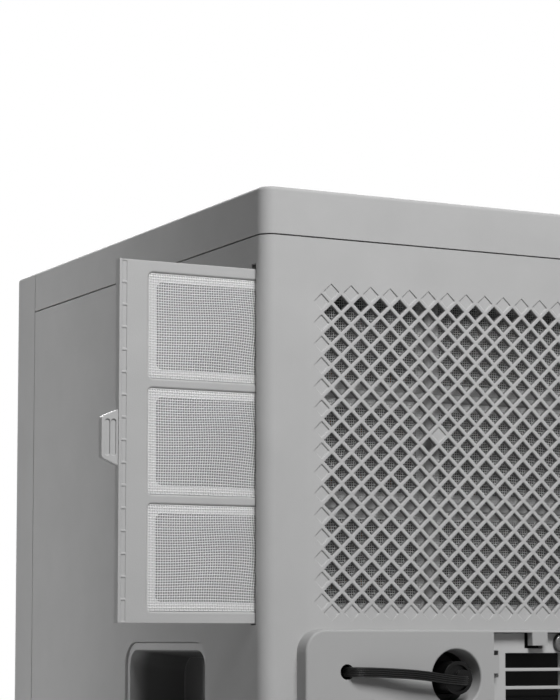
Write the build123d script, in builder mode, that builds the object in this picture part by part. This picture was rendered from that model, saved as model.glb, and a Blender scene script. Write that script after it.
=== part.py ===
"""Portable dehumidifier with a side-drawn air filter, in millimetres.

+Z is up, the front faces -Y and the filter draws out towards +X.
The origin is on the floor, under the middle of the cabinet.
The air filter stands partly drawn out of its slot.
"""

import os
from math import cos, radians, sin

from build123d import *

# Cabinet
WIDTH = 310.0
DEPTH = 285.0
HEIGHT = 510.0
WALL = 2.5
CORNER_R = 6.0
EDGE_R = 1.6
SEAM = 0.6
CLEAR = 0.3
LID_HEIGHT = 19.4
FRONT_PANEL_DEPTH = 30.0
FRONT_CORNER_R = 9.0
SKIRT_Z = 40.0

# Rear intake grille: a diamond lattice with a rim of blind diamonds
LATTICE_COLUMNS = 28
LATTICE_HALF_ROWS = 30
LATTICE_PITCH_X = 9.186
LATTICE_PITCH_Z = 8.692
LATTICE_OPEN = 0.77
LATTICE_DROP = 41.6
LATTICE_BLIND_DEPTH = 0.4
GRILLE_MARGIN = 2.0
GRILLE_THICKNESS = 2.5
SOLID_DIAMOND = (6, 13)

# Air filter
FILTER_OUT = 59.7
FILTER_LENGTH = 281.0
FILTER_HEIGHT = 142.9
FILTER_DROP = 33.5
FILTER_SETBACK = 7.5
FILTER_THICKNESS = 3.0
FILTER_ROWS = 3
FILTER_COLUMNS = 2
FILTER_END_MARGIN = 12.7
FILTER_EDGE_MARGIN = 4.5
FILTER_BAR = 3.6
FILTER_LEDGE = 3.7
FILTER_LEDGE_T = 2.0
FILTER_WINDOW_R = 2.0
FILTER_LEDGE_R = 3.0
FILTER_SOFT_R = 0.7
FILTER_RIM = 1.2
FILTER_RIM_PROUD = 0.5
MESH_T = 0.6
MESH_GAPS_X = 9
MESH_GAPS_Z = 5
MESH_WIRE = 1.1
TAB_REACH = 7.0
TAB_ROOT = 22.1
TAB_TIP = 16.0
TAB_CORNER_R = 1.6
TAB_GROOVES = (1.9, 4.5)
TAB_GROOVE_W = 2.1
TAB_GROOVE_L = 14.4
TAB_GROOVE_DEPTH = 0.5
TAB_DROP = 104.2
LADDER_PITCH = 8.9
LADDER_WIDTH = 2.0
LADDER_RIB = 0.8
LADDER_DEPTH = 0.2
LADDER_INSET = 1.4
SLOT_GAP = 0.7
SLOT_HEADROOM = 2.4
RAIL_LIP = 2.6
RAIL_T = 2.0

# Raised service panel on the rear face
PLATFORM_PROUD = 8.0
PLATFORM_INSET = 15.0
PLATFORM_DROP = 178.8
PLATFORM_HEIGHT = 232.0
PLATFORM_R = 9.0
PLATFORM_EDGE = 1.0

# Drain outlet, its cap and the cap's strap
DRAIN_FROM_CORNER = 84.5
DRAIN_DROP = 198.4
DRAIN_MOUTH_D = 23.5
DRAIN_FLOOR_D = 20.5
DRAIN_DEPTH = 16.0
DRAIN_MOUTH_R = 0.8
SPIGOT_D = 10.0
SPIGOT_BORE = 7.0
SPIGOT_REACH = 14.0
CAP_D = 13.6
CAP_LENGTH = 12.0
CAP_FIT = 0.1
CAP_RIM = 1.4
TETHER_FROM_CORNER = 33.5
TETHER_DROP = 195.7
TETHER_HOLE_D = 6.2
TETHER_W = 4.0
TETHER_T = 2.6
TETHER_BOW = 7.0
TETHER_LIFT = 3.6
TETHER_END_SHIFT = 2.6

# Louvred vent panel in the raised service panel
VENT_COLUMNS = 3
VENT_ROWS = 12
VENT_SLOT_W = 28.0
VENT_SLOT_H = 6.2
VENT_PITCH_X = 30.5
VENT_PITCH_Z = 7.5
VENT_SIDE_MARGIN = 8.0
VENT_TOP_MARGIN = 7.9
VENT_BOTTOM_MARGIN = 9.0
VENT_RECESS = 4.0
VENT_T = 3.0
VENT_LEDGE = 3.0
CLIP_W = 7.5
CLIP_DROP = 5.4
CLIP_INSET = 18.9
CLIP_SIDE_GAP = 1.4
CLIP_END_GAP = 1.2
SIDE_TAB_DROP = 13.1
SIDE_TAB_REACH = 2.5
SIDE_NOTCH = 4.6
SIDE_NOTCH_GAP = 1.8
SCREW_HEAD_D = 8.0
SCREW_HEAD_H = 2.2
SCREW_D = 3.6
SCREW_LENGTH = 9.0
SCREW_CROWN = 1.3
CROSS_LENGTH = 4.4
CROSS_WIDTH = 1.1
CROSS_DEPTH = 1.3
SCREW_OFFSET = 2.9

# Carrying handles
HANDLE_FROM_REAR = 52.6
HANDLE_WIDTH = 85.7
HANDLE_DROP = 183.8
HANDLE_HEIGHT = 48.0
HANDLE_R = 11.0
HANDLE_RIM = 3.4
HANDLE_RECESS = 1.0
HANDLE_DEPTH = 24.0
HANDLE_WALL = 2.0
HANDLE_FLANGE = 4.0

# Top: control panel, buttons and outlet grille
PANEL_W = 210.0
PANEL_D = 60.0
PANEL_FROM_SEAM = 8.0
PANEL_SINK = 1.0
PANEL_FLANGE = 3.0
BUTTON_NAMES = ("power", "mode", "fan_speed", "timer", "humidity_down", "humidity_up")
BUTTON_W = 16.0
BUTTON_D = 10.0
BUTTON_R = 3.0
BUTTON_PITCH = 27.0
BUTTON_ROW_Y = -14.0
BUTTON_PROUD = 1.0
BUTTON_FLANGE = 1.2
DISPLAY_W = 46.0
DISPLAY_D = 20.0
DISPLAY_ROW_Y = 12.0
DISPLAY_T = 1.4
BOARD_T = 1.6
BOARD_DROP = 12.0
POST_D = 6.0
OUTLET_W = 200.0
OUTLET_D = 58.0
OUTLET_Y = 22.0
OUTLET_FLANGE = 3.0
OUTLET_SLATS = 7
SLAT_T = 1.6
SLAT_H = 9.0

# Base pan and casters
PAN_Z = 36.0
PAN_FLOOR = 3.0
PAN_WALL_H = 24.0
CASTER_X = 122.0
CASTER_Y = 100.0
WHEEL_R = 14.0
WHEEL_W = 13.0
AXLE_D = 5.0
TRAIL = 9.0
FORK_T = 2.5
FORK_PLATE = 3.0
STEM_D = 8.0
STEM_LENGTH = 15.0
BOSS_D = 16.0
RUNNING = 0.06

# Water bucket
BUCKET_W = 244.0
BUCKET_D = 140.0
BUCKET_H = 200.0
BUCKET_Z = 62.0
BUCKET_WALL = 2.2
BUCKET_R = 10.0
FASCIA_W = 254.0
FASCIA_H = 218.0
FASCIA_Z = 57.0
FASCIA_T = 4.0
FASCIA_R = 8.0
GRIP_W = 90.0
GRIP_H = 12.0
WINDOW_W = 12.0
WINDOW_H = 130.0
WINDOW_Z = 150.0
LID_T = 2.0
BAIL_D = 7.0
BAIL_ARM = 28.0
BAIL_PIVOT_D = 5.0
BAIL_EAR = 12.0
BAIL_Y = -52.0
FLOAT_W = 46.0
FLOAT_D = 30.0
FLOAT_H = 18.0
FLOAT_ARM = 26.0
FLOAT_PIN_D = 4.0

# Air path: deck, drip tray, coils and blower
DECK_Z = 300.0
DECK_T = 3.0
DECK_REAR_GAP = 10.0
TRAY_W = 248.0
TRAY_H = 25.0
TRAY_WALL = 2.0
TRAY_Y0 = 52.0
TRAY_Y1 = 129.0
COIL_ROWS = 6
COIL_PITCH = 22.0
COIL_TUBE_D = 7.0
COIL_FINS = 33
COIL_FIN_T = 0.5
COIL_END_T = 1.5
COIL_DEPTH = 28.0
COIL_TOP = 476.0
EVAPORATOR_Y = 110.0
CONDENSER_Y = 74.0
BLOWER_W = 190.0
BLOWER_Y0 = -8.0
BLOWER_Y1 = 50.0
BLOWER_TOP = 489.0
BLOWER_WALL = 2.0
INLET_D = 126.0
WHEEL_D = 150.0
FAN_Z = 398.0
FAN_Y0 = 4.0
FAN_Y1 = 42.0
FAN_BLADES = 24
FAN_BLADE_T = 1.5
FAN_BLADE_CHORD = 16.0
FAN_PLATE = 2.0
HUB_D = 26.0
SHAFT_D = 8.0
MOTOR_D = 84.0
MOTOR_LENGTH = 40.0

# Sealed refrigerant circuit
COMPRESSOR_X = -52.0
COMPRESSOR_Y = 78.0
COMPRESSOR_D = 104.0
COMPRESSOR_Z = 77.0
COMPRESSOR_H = 172.0
FOOT_SPREAD = 66.0
FOOT_T = 3.0
FOOT_ANGLE = 30.0
GROMMET_D = 18.0
GROMMET_H = 16.0
BOLT_D = 6.0
NUT_H = 5.0
ACCUMULATOR_X = 26.0
ACCUMULATOR_Y = 88.0
ACCUMULATOR_D = 40.0
ACCUMULATOR_H = 110.0
PIPE_D = 7.0
PIPE_R = 9.0
PIPE_X = -138.0

# Small fittings
GLAND_X = -110.0
GLAND_Z = 122.0
GLAND_D = 16.0
GLAND_BORE = 8.0
SENSOR_SIZE = 18.0
SWITCH_W = 24.0
SWITCH_H = 14.0

# Places that follow from the sizes above
X_SIDE = WIDTH / 2
X_INNER = X_SIDE - WALL
Y_REAR = DEPTH / 2
Y_INNER = Y_REAR - WALL
Y_FRONT = -DEPTH / 2
Y_SEAM = Y_FRONT + FRONT_PANEL_DEPTH
Y_SHELL = Y_SEAM + SEAM
Z_LID = HEIGHT - LID_HEIGHT
Z_SHELL = Z_LID - SEAM
LID_UNDER = HEIGHT - WALL
Y_PLATFORM = Y_REAR + PLATFORM_PROUD
PLATFORM_TOP = HEIGHT - PLATFORM_DROP
PLATFORM_W = WIDTH - 2 * PLATFORM_INSET
PLATFORM_Z = PLATFORM_TOP - PLATFORM_HEIGHT / 2

FILTER_TOP = HEIGHT - FILTER_DROP
FILTER_Z = FILTER_TOP - FILTER_HEIGHT / 2
FILTER_X1 = X_SIDE + FILTER_OUT
FILTER_X0 = FILTER_X1 - FILTER_LENGTH
FILTER_Y1 = Y_REAR - FILTER_SETBACK
FILTER_Y0 = FILTER_Y1 - FILTER_THICKNESS
FILTER_Y = (FILTER_Y0 + FILTER_Y1) / 2

LATTICE_X0 = LATTICE_COLUMNS * LATTICE_PITCH_X / 2
LATTICE_Z0 = HEIGHT - LATTICE_DROP
GRILLE_W = LATTICE_COLUMNS * LATTICE_PITCH_X + LATTICE_PITCH_X + 2 * GRILLE_MARGIN
GRILLE_H = (LATTICE_HALF_ROWS / 2 + 1) * LATTICE_PITCH_Z + 2 * GRILLE_MARGIN
GRILLE_Z = LATTICE_Z0 - LATTICE_HALF_ROWS * LATTICE_PITCH_Z / 4

VENT_W = VENT_COLUMNS * VENT_PITCH_X - (VENT_PITCH_X - VENT_SLOT_W) + 2 * VENT_SIDE_MARGIN
VENT_H = VENT_ROWS * VENT_PITCH_Z + VENT_TOP_MARGIN + VENT_BOTTOM_MARGIN
VENT_TOP = PLATFORM_TOP - PLATFORM_EDGE
VENT_Z = VENT_TOP - VENT_H / 2
VENT_FACE = Y_PLATFORM - VENT_RECESS
VENT_BACK = VENT_FACE - VENT_T
SCREW_X = VENT_SLOT_W / 2 + SCREW_OFFSET
SCREW_Z = VENT_TOP - SCREW_HEAD_D / 2 - CLEAR
CLIP_X = VENT_W / 2 - CLIP_INSET - CLIP_W / 2
SIDE_TAB_Z = VENT_TOP - SIDE_TAB_DROP

DRAIN_X = X_SIDE - DRAIN_FROM_CORNER
DRAIN_Z = HEIGHT - DRAIN_DROP
DRAIN_FLOOR = Y_PLATFORM - DRAIN_DEPTH
SPIGOT_TIP = DRAIN_FLOOR + SPIGOT_REACH
CAP_FACE = SPIGOT_TIP + CAP_RIM + CLEAR
TETHER_X = X_SIDE - TETHER_FROM_CORNER
KNOB_X = DRAIN_X - TETHER_END_SHIFT
TETHER_Z = HEIGHT - TETHER_DROP

HANDLE_Y = Y_REAR - HANDLE_FROM_REAR - HANDLE_WIDTH / 2
HANDLE_Z = HEIGHT - HANDLE_DROP - HANDLE_HEIGHT / 2

PANEL_Y = Y_SHELL + PANEL_FROM_SEAM + PANEL_D / 2
PANEL_TOP = HEIGHT - PANEL_SINK
BUTTON_BASE = LID_UNDER - WALL - BUTTON_FLANGE
BOARD_Z = LID_UNDER - BOARD_DROP

PAN_X = X_INNER - CLEAR
PAN_Y1 = Y_INNER - CLEAR
PAN_Y0 = Y_SHELL + CLEAR
FORK_TOP = PAN_Z - CLEAR

BUCKET_Y0 = Y_FRONT + FASCIA_T + CLEAR
BUCKET_Y = BUCKET_Y0 + BUCKET_D / 2
BUCKET_TOP = BUCKET_Z + BUCKET_H
LID_TOP = BUCKET_TOP + CLEAR + LID_T
BAIL_Z = LID_TOP + BAIL_D / 2 + CLEAR
BAIL_X = BUCKET_W / 2 - BAIL_EAR
FASCIA_CENTRE = FASCIA_Z + FASCIA_H / 2

DECK_TOP = DECK_Z + DECK_T
DECK_Y1 = Y_INNER - DECK_REAR_GAP
TRAY_TOP = DECK_TOP + TRAY_H
COIL_X = TRAY_W / 2
COIL_LOW = TRAY_TOP + COIL_PITCH
COIL_HALF_SPAN = COIL_X + COIL_TUBE_D / 2
CUP_X = X_INNER - HANDLE_DEPTH - HANDLE_WALL


def facing_front(y):
    """A plane at depth y whose sketch axes are +X and +Z; it extrudes towards -Y."""
    return Plane.XZ.offset(-y)


def facing_side(x):
    """A plane at x whose sketch axes are +Y and +Z; it extrudes towards +X."""
    return Plane.YZ.offset(x)


def lattice_points(open_cells):
    """Centres of the open or the blind diamonds, as (x, z)."""
    points = []
    for row in range(LATTICE_HALF_ROWS + 1):
        odd = row % 2 == 1
        cells = LATTICE_COLUMNS + 1 if odd else LATTICE_COLUMNS
        for cell in range(cells):
            rim_row = row in (0, LATTICE_HALF_ROWS)
            rim_cell = odd and cell in (0, cells - 1)
            solid = (cell, row) == SOLID_DIAMOND
            if (rim_row or rim_cell or solid) == open_cells:
                continue
            shift = 0.0 if odd else LATTICE_PITCH_X / 2
            x = LATTICE_X0 - shift - cell * LATTICE_PITCH_X
            points.append((x, LATTICE_Z0 - row * LATTICE_PITCH_Z / 2))
    return points


def diamond_corners():
    """The four corners of one diamond opening about its own centre."""
    half_x = LATTICE_PITCH_X * LATTICE_OPEN / 2
    half_z = LATTICE_PITCH_Z * LATTICE_OPEN / 2
    return [(half_x, 0), (0, half_z), (-half_x, 0), (0, -half_z)]


def window_centres():
    """Centres of the filter's windows, in the sketch plane that faces the front."""
    width, height = window_size()
    first_x = FILTER_X1 - FILTER_END_MARGIN - width / 2
    first_z = FILTER_TOP - FILTER_EDGE_MARGIN - height / 2
    return [
        (first_x - column * (width + FILTER_BAR), first_z - row * (height + FILTER_BAR))
        for column in range(FILTER_COLUMNS)
        for row in range(FILTER_ROWS)
    ]


def window_size():
    """Width and height of one filter window."""
    width = (FILTER_LENGTH - 2 * FILTER_END_MARGIN - (FILTER_COLUMNS - 1) * FILTER_BAR) / FILTER_COLUMNS
    height = (FILTER_HEIGHT - 2 * FILTER_EDGE_MARGIN - (FILTER_ROWS - 1) * FILTER_BAR) / FILTER_ROWS
    return width, height


pieces = []


def keep(part, name):
    """Names a finished piece and puts it on the list of pieces to write."""
    part.label = name
    pieces.append((name, part))


# Cabinet: rear wall and both sides in one shell, with the raised service panel
with BuildPart() as cabinet:
    shell_depth = Y_REAR - Y_SHELL
    shell_y = (Y_REAR + Y_SHELL) / 2
    with BuildSketch(Plane.XY.offset(SKIRT_Z)) as shell_outline:
        with Locations((0, shell_y)):
            Rectangle(WIDTH, shell_depth)
        fillet(shell_outline.vertices().group_by(Axis.Y)[-1], CORNER_R)
    extrude(amount=Z_SHELL - SKIRT_Z)
    with BuildSketch(Plane.XY.offset(SKIRT_Z)) as shell_core:
        with Locations((0, shell_y - WALL)):
            Rectangle(WIDTH - 2 * WALL, shell_depth)
        fillet(shell_core.vertices().group_by(Axis.Y)[-1], CORNER_R - WALL)
    extrude(amount=Z_SHELL - SKIRT_Z, mode=Mode.SUBTRACT)
    # Raised service panel, hollow from behind
    with BuildSketch(facing_front(Y_PLATFORM)):
        with Locations((0, PLATFORM_Z)):
            RectangleRounded(PLATFORM_W, PLATFORM_HEIGHT, PLATFORM_R)
    extrude(amount=PLATFORM_PROUD + WALL)
    platform_face = cabinet.faces().filter_by(Axis.Y).sort_by(Axis.Y)[-1]
    fillet(platform_face.edges(), PLATFORM_EDGE)
    with BuildSketch(facing_front(Y_PLATFORM - WALL)):
        with Locations((0, PLATFORM_Z)):
            RectangleRounded(PLATFORM_W - 2 * WALL, PLATFORM_HEIGHT - 2 * WALL, PLATFORM_R - WALL)
    extrude(amount=PLATFORM_PROUD + WALL, mode=Mode.SUBTRACT)
    # Walls and ledge that carry the vent panel
    with BuildSketch(facing_front(Y_PLATFORM - PLATFORM_EDGE)):
        with Locations((0, VENT_Z - WALL / 2)):
            Rectangle(VENT_W + 2 * WALL, VENT_H + WALL)
    extrude(amount=PLATFORM_PROUD - PLATFORM_EDGE + WALL)
    with BuildSketch(facing_front(Y_PLATFORM)):
        with Locations((0, VENT_Z)):
            Rectangle(VENT_W, VENT_H)
    extrude(amount=VENT_RECESS + VENT_T, mode=Mode.SUBTRACT)
    with BuildSketch(facing_front(Y_PLATFORM)):
        with Locations((0, VENT_Z)):
            Rectangle(VENT_W - 2 * VENT_LEDGE, VENT_H - 2 * VENT_LEDGE)
    extrude(amount=2 * (PLATFORM_PROUD + WALL), mode=Mode.SUBTRACT)
    # Clips over the vent panel: two from above, one from each side
    with BuildSketch(facing_front(Y_PLATFORM)):
        for side in (1, -1):
            with Locations((side * CLIP_X, VENT_TOP - CLIP_DROP / 2)):
                Rectangle(CLIP_W, CLIP_DROP)
            with Locations((side * (VENT_W - SIDE_TAB_REACH) / 2, SIDE_TAB_Z)):
                Rectangle(SIDE_TAB_REACH, CLIP_W)
    extrude(amount=VENT_RECESS - CLEAR)
    # Screw bosses behind the ledge, with their holes
    screw_places = [(side * SCREW_X, SCREW_Z) for side in (1, -1)]
    with BuildSketch(facing_front(VENT_BACK)):
        with Locations(*screw_places):
            Circle(SCREW_HEAD_D / 2)
    extrude(amount=WALL + CLEAR)
    with BuildSketch(facing_front(VENT_FACE)):
        with Locations(*screw_places):
            Circle(SCREW_D / 2 + CLEAR / 3)
    extrude(amount=SCREW_LENGTH, mode=Mode.SUBTRACT)
    # Tapered drain cup
    with BuildSketch(Plane.XY.offset(DRAIN_Z)):
        with BuildLine():
            Polyline(
                (DRAIN_X, DRAIN_FLOOR - WALL),
                (DRAIN_X + DRAIN_FLOOR_D / 2 + WALL, DRAIN_FLOOR - WALL),
                (DRAIN_X + DRAIN_MOUTH_D / 2 + WALL, Y_PLATFORM - PLATFORM_EDGE),
                (DRAIN_X, Y_PLATFORM - PLATFORM_EDGE),
                close=True,
            )
        make_face()
    revolve(axis=Axis((DRAIN_X, 0, DRAIN_Z), (0, 1, 0)))
    with BuildSketch(Plane.XY.offset(DRAIN_Z)):
        with BuildLine():
            Polyline(
                (DRAIN_X, DRAIN_FLOOR),
                (DRAIN_X + DRAIN_FLOOR_D / 2, DRAIN_FLOOR),
                (DRAIN_X + DRAIN_MOUTH_D / 2, Y_PLATFORM),
                (DRAIN_X, Y_PLATFORM),
                close=True,
            )
        make_face()
    revolve(axis=Axis((DRAIN_X, 0, DRAIN_Z), (0, 1, 0)), mode=Mode.SUBTRACT)
    drain_mouth = cabinet.edges().filter_by(GeomType.CIRCLE).filter_by(
        lambda edge: abs(edge.radius - DRAIN_MOUTH_D / 2) < CLEAR / 3
    )
    fillet(drain_mouth.sort_by(Axis.Y)[-1], DRAIN_MOUTH_R)
    with Locations((DRAIN_X, DRAIN_FLOOR, DRAIN_Z)):
        Cylinder(SPIGOT_D / 2 + CLEAR, 4 * WALL, rotation=(90, 0, 0), mode=Mode.SUBTRACT)
    # Hole that anchors the cap's strap, and the hole for the cord gland
    with Locations((TETHER_X, Y_PLATFORM, TETHER_Z)):
        Cylinder(TETHER_HOLE_D / 2, 4 * WALL, rotation=(90, 0, 0), mode=Mode.SUBTRACT)
    with Locations((GLAND_X, Y_PLATFORM, GLAND_Z)):
        Cylinder(GLAND_D / 2 + CLEAR / 3, 4 * WALL, rotation=(90, 0, 0), mode=Mode.SUBTRACT)
    # Window for the intake grille
    with BuildSketch(facing_front(Y_REAR)):
        with Locations((0, GRILLE_Z)):
            Rectangle(GRILLE_W, GRILLE_H)
    extrude(amount=WALL, mode=Mode.SUBTRACT)
    # Filter slot in the right-hand side, and handle openings in both
    with BuildSketch(facing_side(X_INNER - WALL)):
        with Locations((FILTER_Y, FILTER_Z + (SLOT_HEADROOM - SLOT_GAP) / 2)):
            Rectangle(FILTER_THICKNESS + 2 * SLOT_GAP, FILTER_HEIGHT + SLOT_HEADROOM + SLOT_GAP)
    extrude(amount=3 * WALL, mode=Mode.SUBTRACT)
    with BuildSketch(facing_side(-X_SIDE)):
        with Locations((HANDLE_Y, HANDLE_Z)):
            RectangleRounded(HANDLE_WIDTH, HANDLE_HEIGHT, HANDLE_R)
    extrude(amount=WIDTH, mode=Mode.SUBTRACT)
keep(cabinet.part, "cabinet")

# Intake grille: the lattice plate that fills the cabinet's rear window
with BuildPart() as rear_grille:
    with BuildSketch(facing_front(Y_REAR)):
        with Locations((0, GRILLE_Z)):
            Rectangle(GRILLE_W, GRILLE_H)
        with Locations(*lattice_points(open_cells=True)):
            Polygon(*diamond_corners(), align=None, mode=Mode.SUBTRACT)
    extrude(amount=GRILLE_THICKNESS)
    with BuildSketch(facing_front(Y_REAR)):
        with Locations(*lattice_points(open_cells=False)):
            Polygon(*diamond_corners(), align=None)
    extrude(amount=LATTICE_BLIND_DEPTH, mode=Mode.SUBTRACT)
keep(rear_grille.part, "rear_grille")

# Vent panel: three columns of slots, notched for the clips
with BuildPart() as vent_panel:
    with BuildSketch(facing_front(VENT_FACE)):
        with Locations((0, VENT_Z)):
            Rectangle(VENT_W - 2 * CLEAR, VENT_H - 2 * CLEAR)
        slots_z = VENT_TOP - VENT_TOP_MARGIN - VENT_ROWS * VENT_PITCH_Z / 2
        with Locations((0, slots_z)):
            with GridLocations(VENT_PITCH_X, VENT_PITCH_Z, VENT_COLUMNS, VENT_ROWS):
                Rectangle(VENT_SLOT_W, VENT_SLOT_H, mode=Mode.SUBTRACT)
        for side in (1, -1):
            with Locations((side * (CLIP_X + CLIP_SIDE_GAP / 2), VENT_TOP - CLIP_DROP / 2)):
                Rectangle(CLIP_W + CLIP_SIDE_GAP, CLIP_DROP + 2 * CLIP_END_GAP, mode=Mode.SUBTRACT)
            with Locations((side * SCREW_X, SCREW_Z)):
                Circle(SCREW_D / 2 + CLEAR / 3, mode=Mode.SUBTRACT)
            with Locations((side * VENT_W / 2, SIDE_TAB_Z)):
                Rectangle(2 * SIDE_NOTCH, CLIP_W + 2 * SIDE_NOTCH_GAP, mode=Mode.SUBTRACT)
    extrude(amount=VENT_T)
keep(vent_panel.part, "vent_panel")

# Pan-head screws that hold the vent panel
with BuildPart() as vent_screws:
    for side in (1, -1):
        with BuildSketch(facing_front(VENT_FACE)):
            with Locations((side * SCREW_X, SCREW_Z)):
                Circle(SCREW_HEAD_D / 2)
        extrude(amount=-SCREW_HEAD_H)
        with BuildSketch(facing_front(VENT_FACE)):
            with Locations((side * SCREW_X, SCREW_Z)):
                Circle(SCREW_D / 2)
        extrude(amount=SCREW_LENGTH)
    head_rims = vent_screws.edges().filter_by(GeomType.CIRCLE).group_by(Axis.Y)[-1]
    fillet(head_rims, SCREW_CROWN)
    with BuildSketch(facing_front(VENT_FACE + SCREW_HEAD_H)):
        for side in (1, -1):
            with Locations((side * SCREW_X, SCREW_Z)):
                Rectangle(CROSS_LENGTH, CROSS_WIDTH)
                Rectangle(CROSS_WIDTH, CROSS_LENGTH)
    extrude(amount=CROSS_DEPTH, mode=Mode.SUBTRACT)
keep(vent_screws.part, "vent_screws")

# Carrying handle cups, one behind each side opening
for side, name in ((1, "handle_cup_left"), (-1, "handle_cup_right")):
    with BuildPart() as handle_cup:
        outward = Plane(origin=(side * CUP_X, HANDLE_Y, HANDLE_Z), x_dir=(0, side, 0), z_dir=(side, 0, 0))
        depth_to_wall = X_INNER - CUP_X
        with BuildSketch(outward):
            RectangleRounded(HANDLE_WIDTH - 2 * CLEAR, HANDLE_HEIGHT - 2 * CLEAR, HANDLE_R - CLEAR)
        extrude(amount=depth_to_wall + WALL - HANDLE_RECESS)
        with BuildSketch(outward.offset(depth_to_wall - HANDLE_WALL)):
            RectangleRounded(HANDLE_WIDTH + 2 * HANDLE_FLANGE, HANDLE_HEIGHT + 2 * HANDLE_FLANGE, HANDLE_R)
        extrude(amount=HANDLE_WALL)
        with BuildSketch(outward.offset(HANDLE_WALL)):
            RectangleRounded(
                HANDLE_WIDTH - 4 * HANDLE_RIM, HANDLE_HEIGHT - 4 * HANDLE_RIM, HANDLE_R - HANDLE_RIM
            )
        with BuildSketch(outward.offset(depth_to_wall + WALL - HANDLE_RECESS)):
            RectangleRounded(
                HANDLE_WIDTH - 2 * HANDLE_RIM, HANDLE_HEIGHT - 2 * HANDLE_RIM, HANDLE_R - HANDLE_RIM
            )
        loft(mode=Mode.SUBTRACT)
    keep(handle_cup.part, name)

# Air filter frame: stepped windows, grip tab, end rim and a ladder groove beside it
with BuildPart() as filter_frame:
    window_w, window_h = window_size()
    with BuildSketch(facing_front(FILTER_Y1)):
        with Locations(((FILTER_X0 + FILTER_X1) / 2, FILTER_Z)):
            Rectangle(FILTER_LENGTH, FILTER_HEIGHT)
    extrude(amount=FILTER_THICKNESS)
    tab_z = HEIGHT - TAB_DROP
    with BuildSketch(facing_front(FILTER_Y1)):
        Polygon(
            (FILTER_X1, tab_z + TAB_ROOT / 2),
            (FILTER_X1, tab_z - TAB_ROOT / 2),
            (FILTER_X1 + TAB_REACH, tab_z - TAB_TIP / 2),
            (FILTER_X1 + TAB_REACH, tab_z + TAB_TIP / 2),
            align=None,
        )
    extrude(amount=FILTER_THICKNESS)
    tab_corners = filter_frame.edges().filter_by(Axis.Y).group_by(Axis.X)[-1]
    fillet(tab_corners, TAB_CORNER_R)
    with BuildSketch(facing_front(FILTER_Y1)):
        with Locations(*window_centres()):
            RectangleRounded(window_w, window_h, FILTER_WINDOW_R)
    extrude(amount=FILTER_THICKNESS - FILTER_LEDGE_T, mode=Mode.SUBTRACT)
    frame_face = filter_frame.faces().filter_by(Axis.Y).sort_by(Axis.Y)[-1]
    fillet(frame_face.inner_wires().edges(), FILTER_SOFT_R)
    with BuildSketch(facing_front(FILTER_Y1)):
        with Locations(*window_centres()):
            RectangleRounded(window_w - 2 * FILTER_LEDGE, window_h - 2 * FILTER_LEDGE, FILTER_LEDGE_R)
    extrude(amount=FILTER_THICKNESS, mode=Mode.SUBTRACT)
    with BuildSketch(facing_front(FILTER_Y1)):
        with Locations(*[(FILTER_X1 + reach, tab_z) for reach in TAB_GROOVES]):
            SlotOverall(TAB_GROOVE_L, TAB_GROOVE_W, rotation=90)
    extrude(amount=TAB_GROOVE_DEPTH, mode=Mode.SUBTRACT)
    ladder_steps = int(FILTER_HEIGHT / LADDER_PITCH)
    with BuildSketch(facing_front(FILTER_Y1)):
        with Locations((FILTER_X1 - LADDER_INSET - LADDER_WIDTH / 2, FILTER_Z)):
            with GridLocations(LADDER_WIDTH, LADDER_PITCH, 1, ladder_steps):
                Rectangle(LADDER_WIDTH, LADDER_PITCH - LADDER_RIB)
    extrude(amount=LADDER_DEPTH, mode=Mode.SUBTRACT)
    with BuildSketch(facing_front(FILTER_Y1 + FILTER_RIM_PROUD)):
        with Locations((FILTER_X1 - FILTER_RIM / 2, FILTER_Z)):
            Rectangle(FILTER_RIM, FILTER_HEIGHT)
    extrude(amount=FILTER_RIM_PROUD)
keep(filter_frame.part, "filter_frame")

# Filter net: one holed sheet per window, laid on the window's ledge
with BuildPart() as filter_net:
    net_y = FILTER_Y0 + FILTER_LEDGE_T + MESH_T
    net_w, net_h = window_w - 2 * CLEAR, window_h - 2 * CLEAR
    gap_x, gap_z = (net_w - MESH_WIRE) / MESH_GAPS_X, (net_h - MESH_WIRE) / MESH_GAPS_Z
    with BuildSketch(facing_front(net_y)):
        with Locations(*window_centres()):
            RectangleRounded(net_w, net_h, FILTER_WINDOW_R)
            with GridLocations(gap_x, gap_z, MESH_GAPS_X, MESH_GAPS_Z):
                Rectangle(gap_x - MESH_WIRE, gap_z - MESH_WIRE, mode=Mode.SUBTRACT)
    extrude(amount=MESH_T)
keep(filter_net.part, "filter_net")

# Channels that guide the filter's upper and lower edges behind the rear wall
with BuildPart() as filter_rails:
    rail_y0 = FILTER_Y0 - SLOT_GAP - RAIL_T
    rail_x = X_INNER - CORNER_R
    for z_edge, inward in ((FILTER_TOP, -1), (FILTER_TOP - FILTER_HEIGHT, 1)):
        z_lip = z_edge + inward * RAIL_LIP
        z_back = z_edge - inward * (SLOT_GAP + RAIL_T)
        with BuildSketch(facing_side(-rail_x)):
            with Locations(((rail_y0 + Y_INNER) / 2, (z_lip + z_back) / 2)):
                Rectangle(Y_INNER - rail_y0, abs(z_lip - z_back))
            with Locations((FILTER_Y, (z_lip + z_edge - inward * SLOT_GAP) / 2)):
                Rectangle(FILTER_THICKNESS + 2 * SLOT_GAP, RAIL_LIP + SLOT_GAP, mode=Mode.SUBTRACT)
        extrude(amount=2 * rail_x)
keep(filter_rails.part, "filter_rails")

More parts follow.
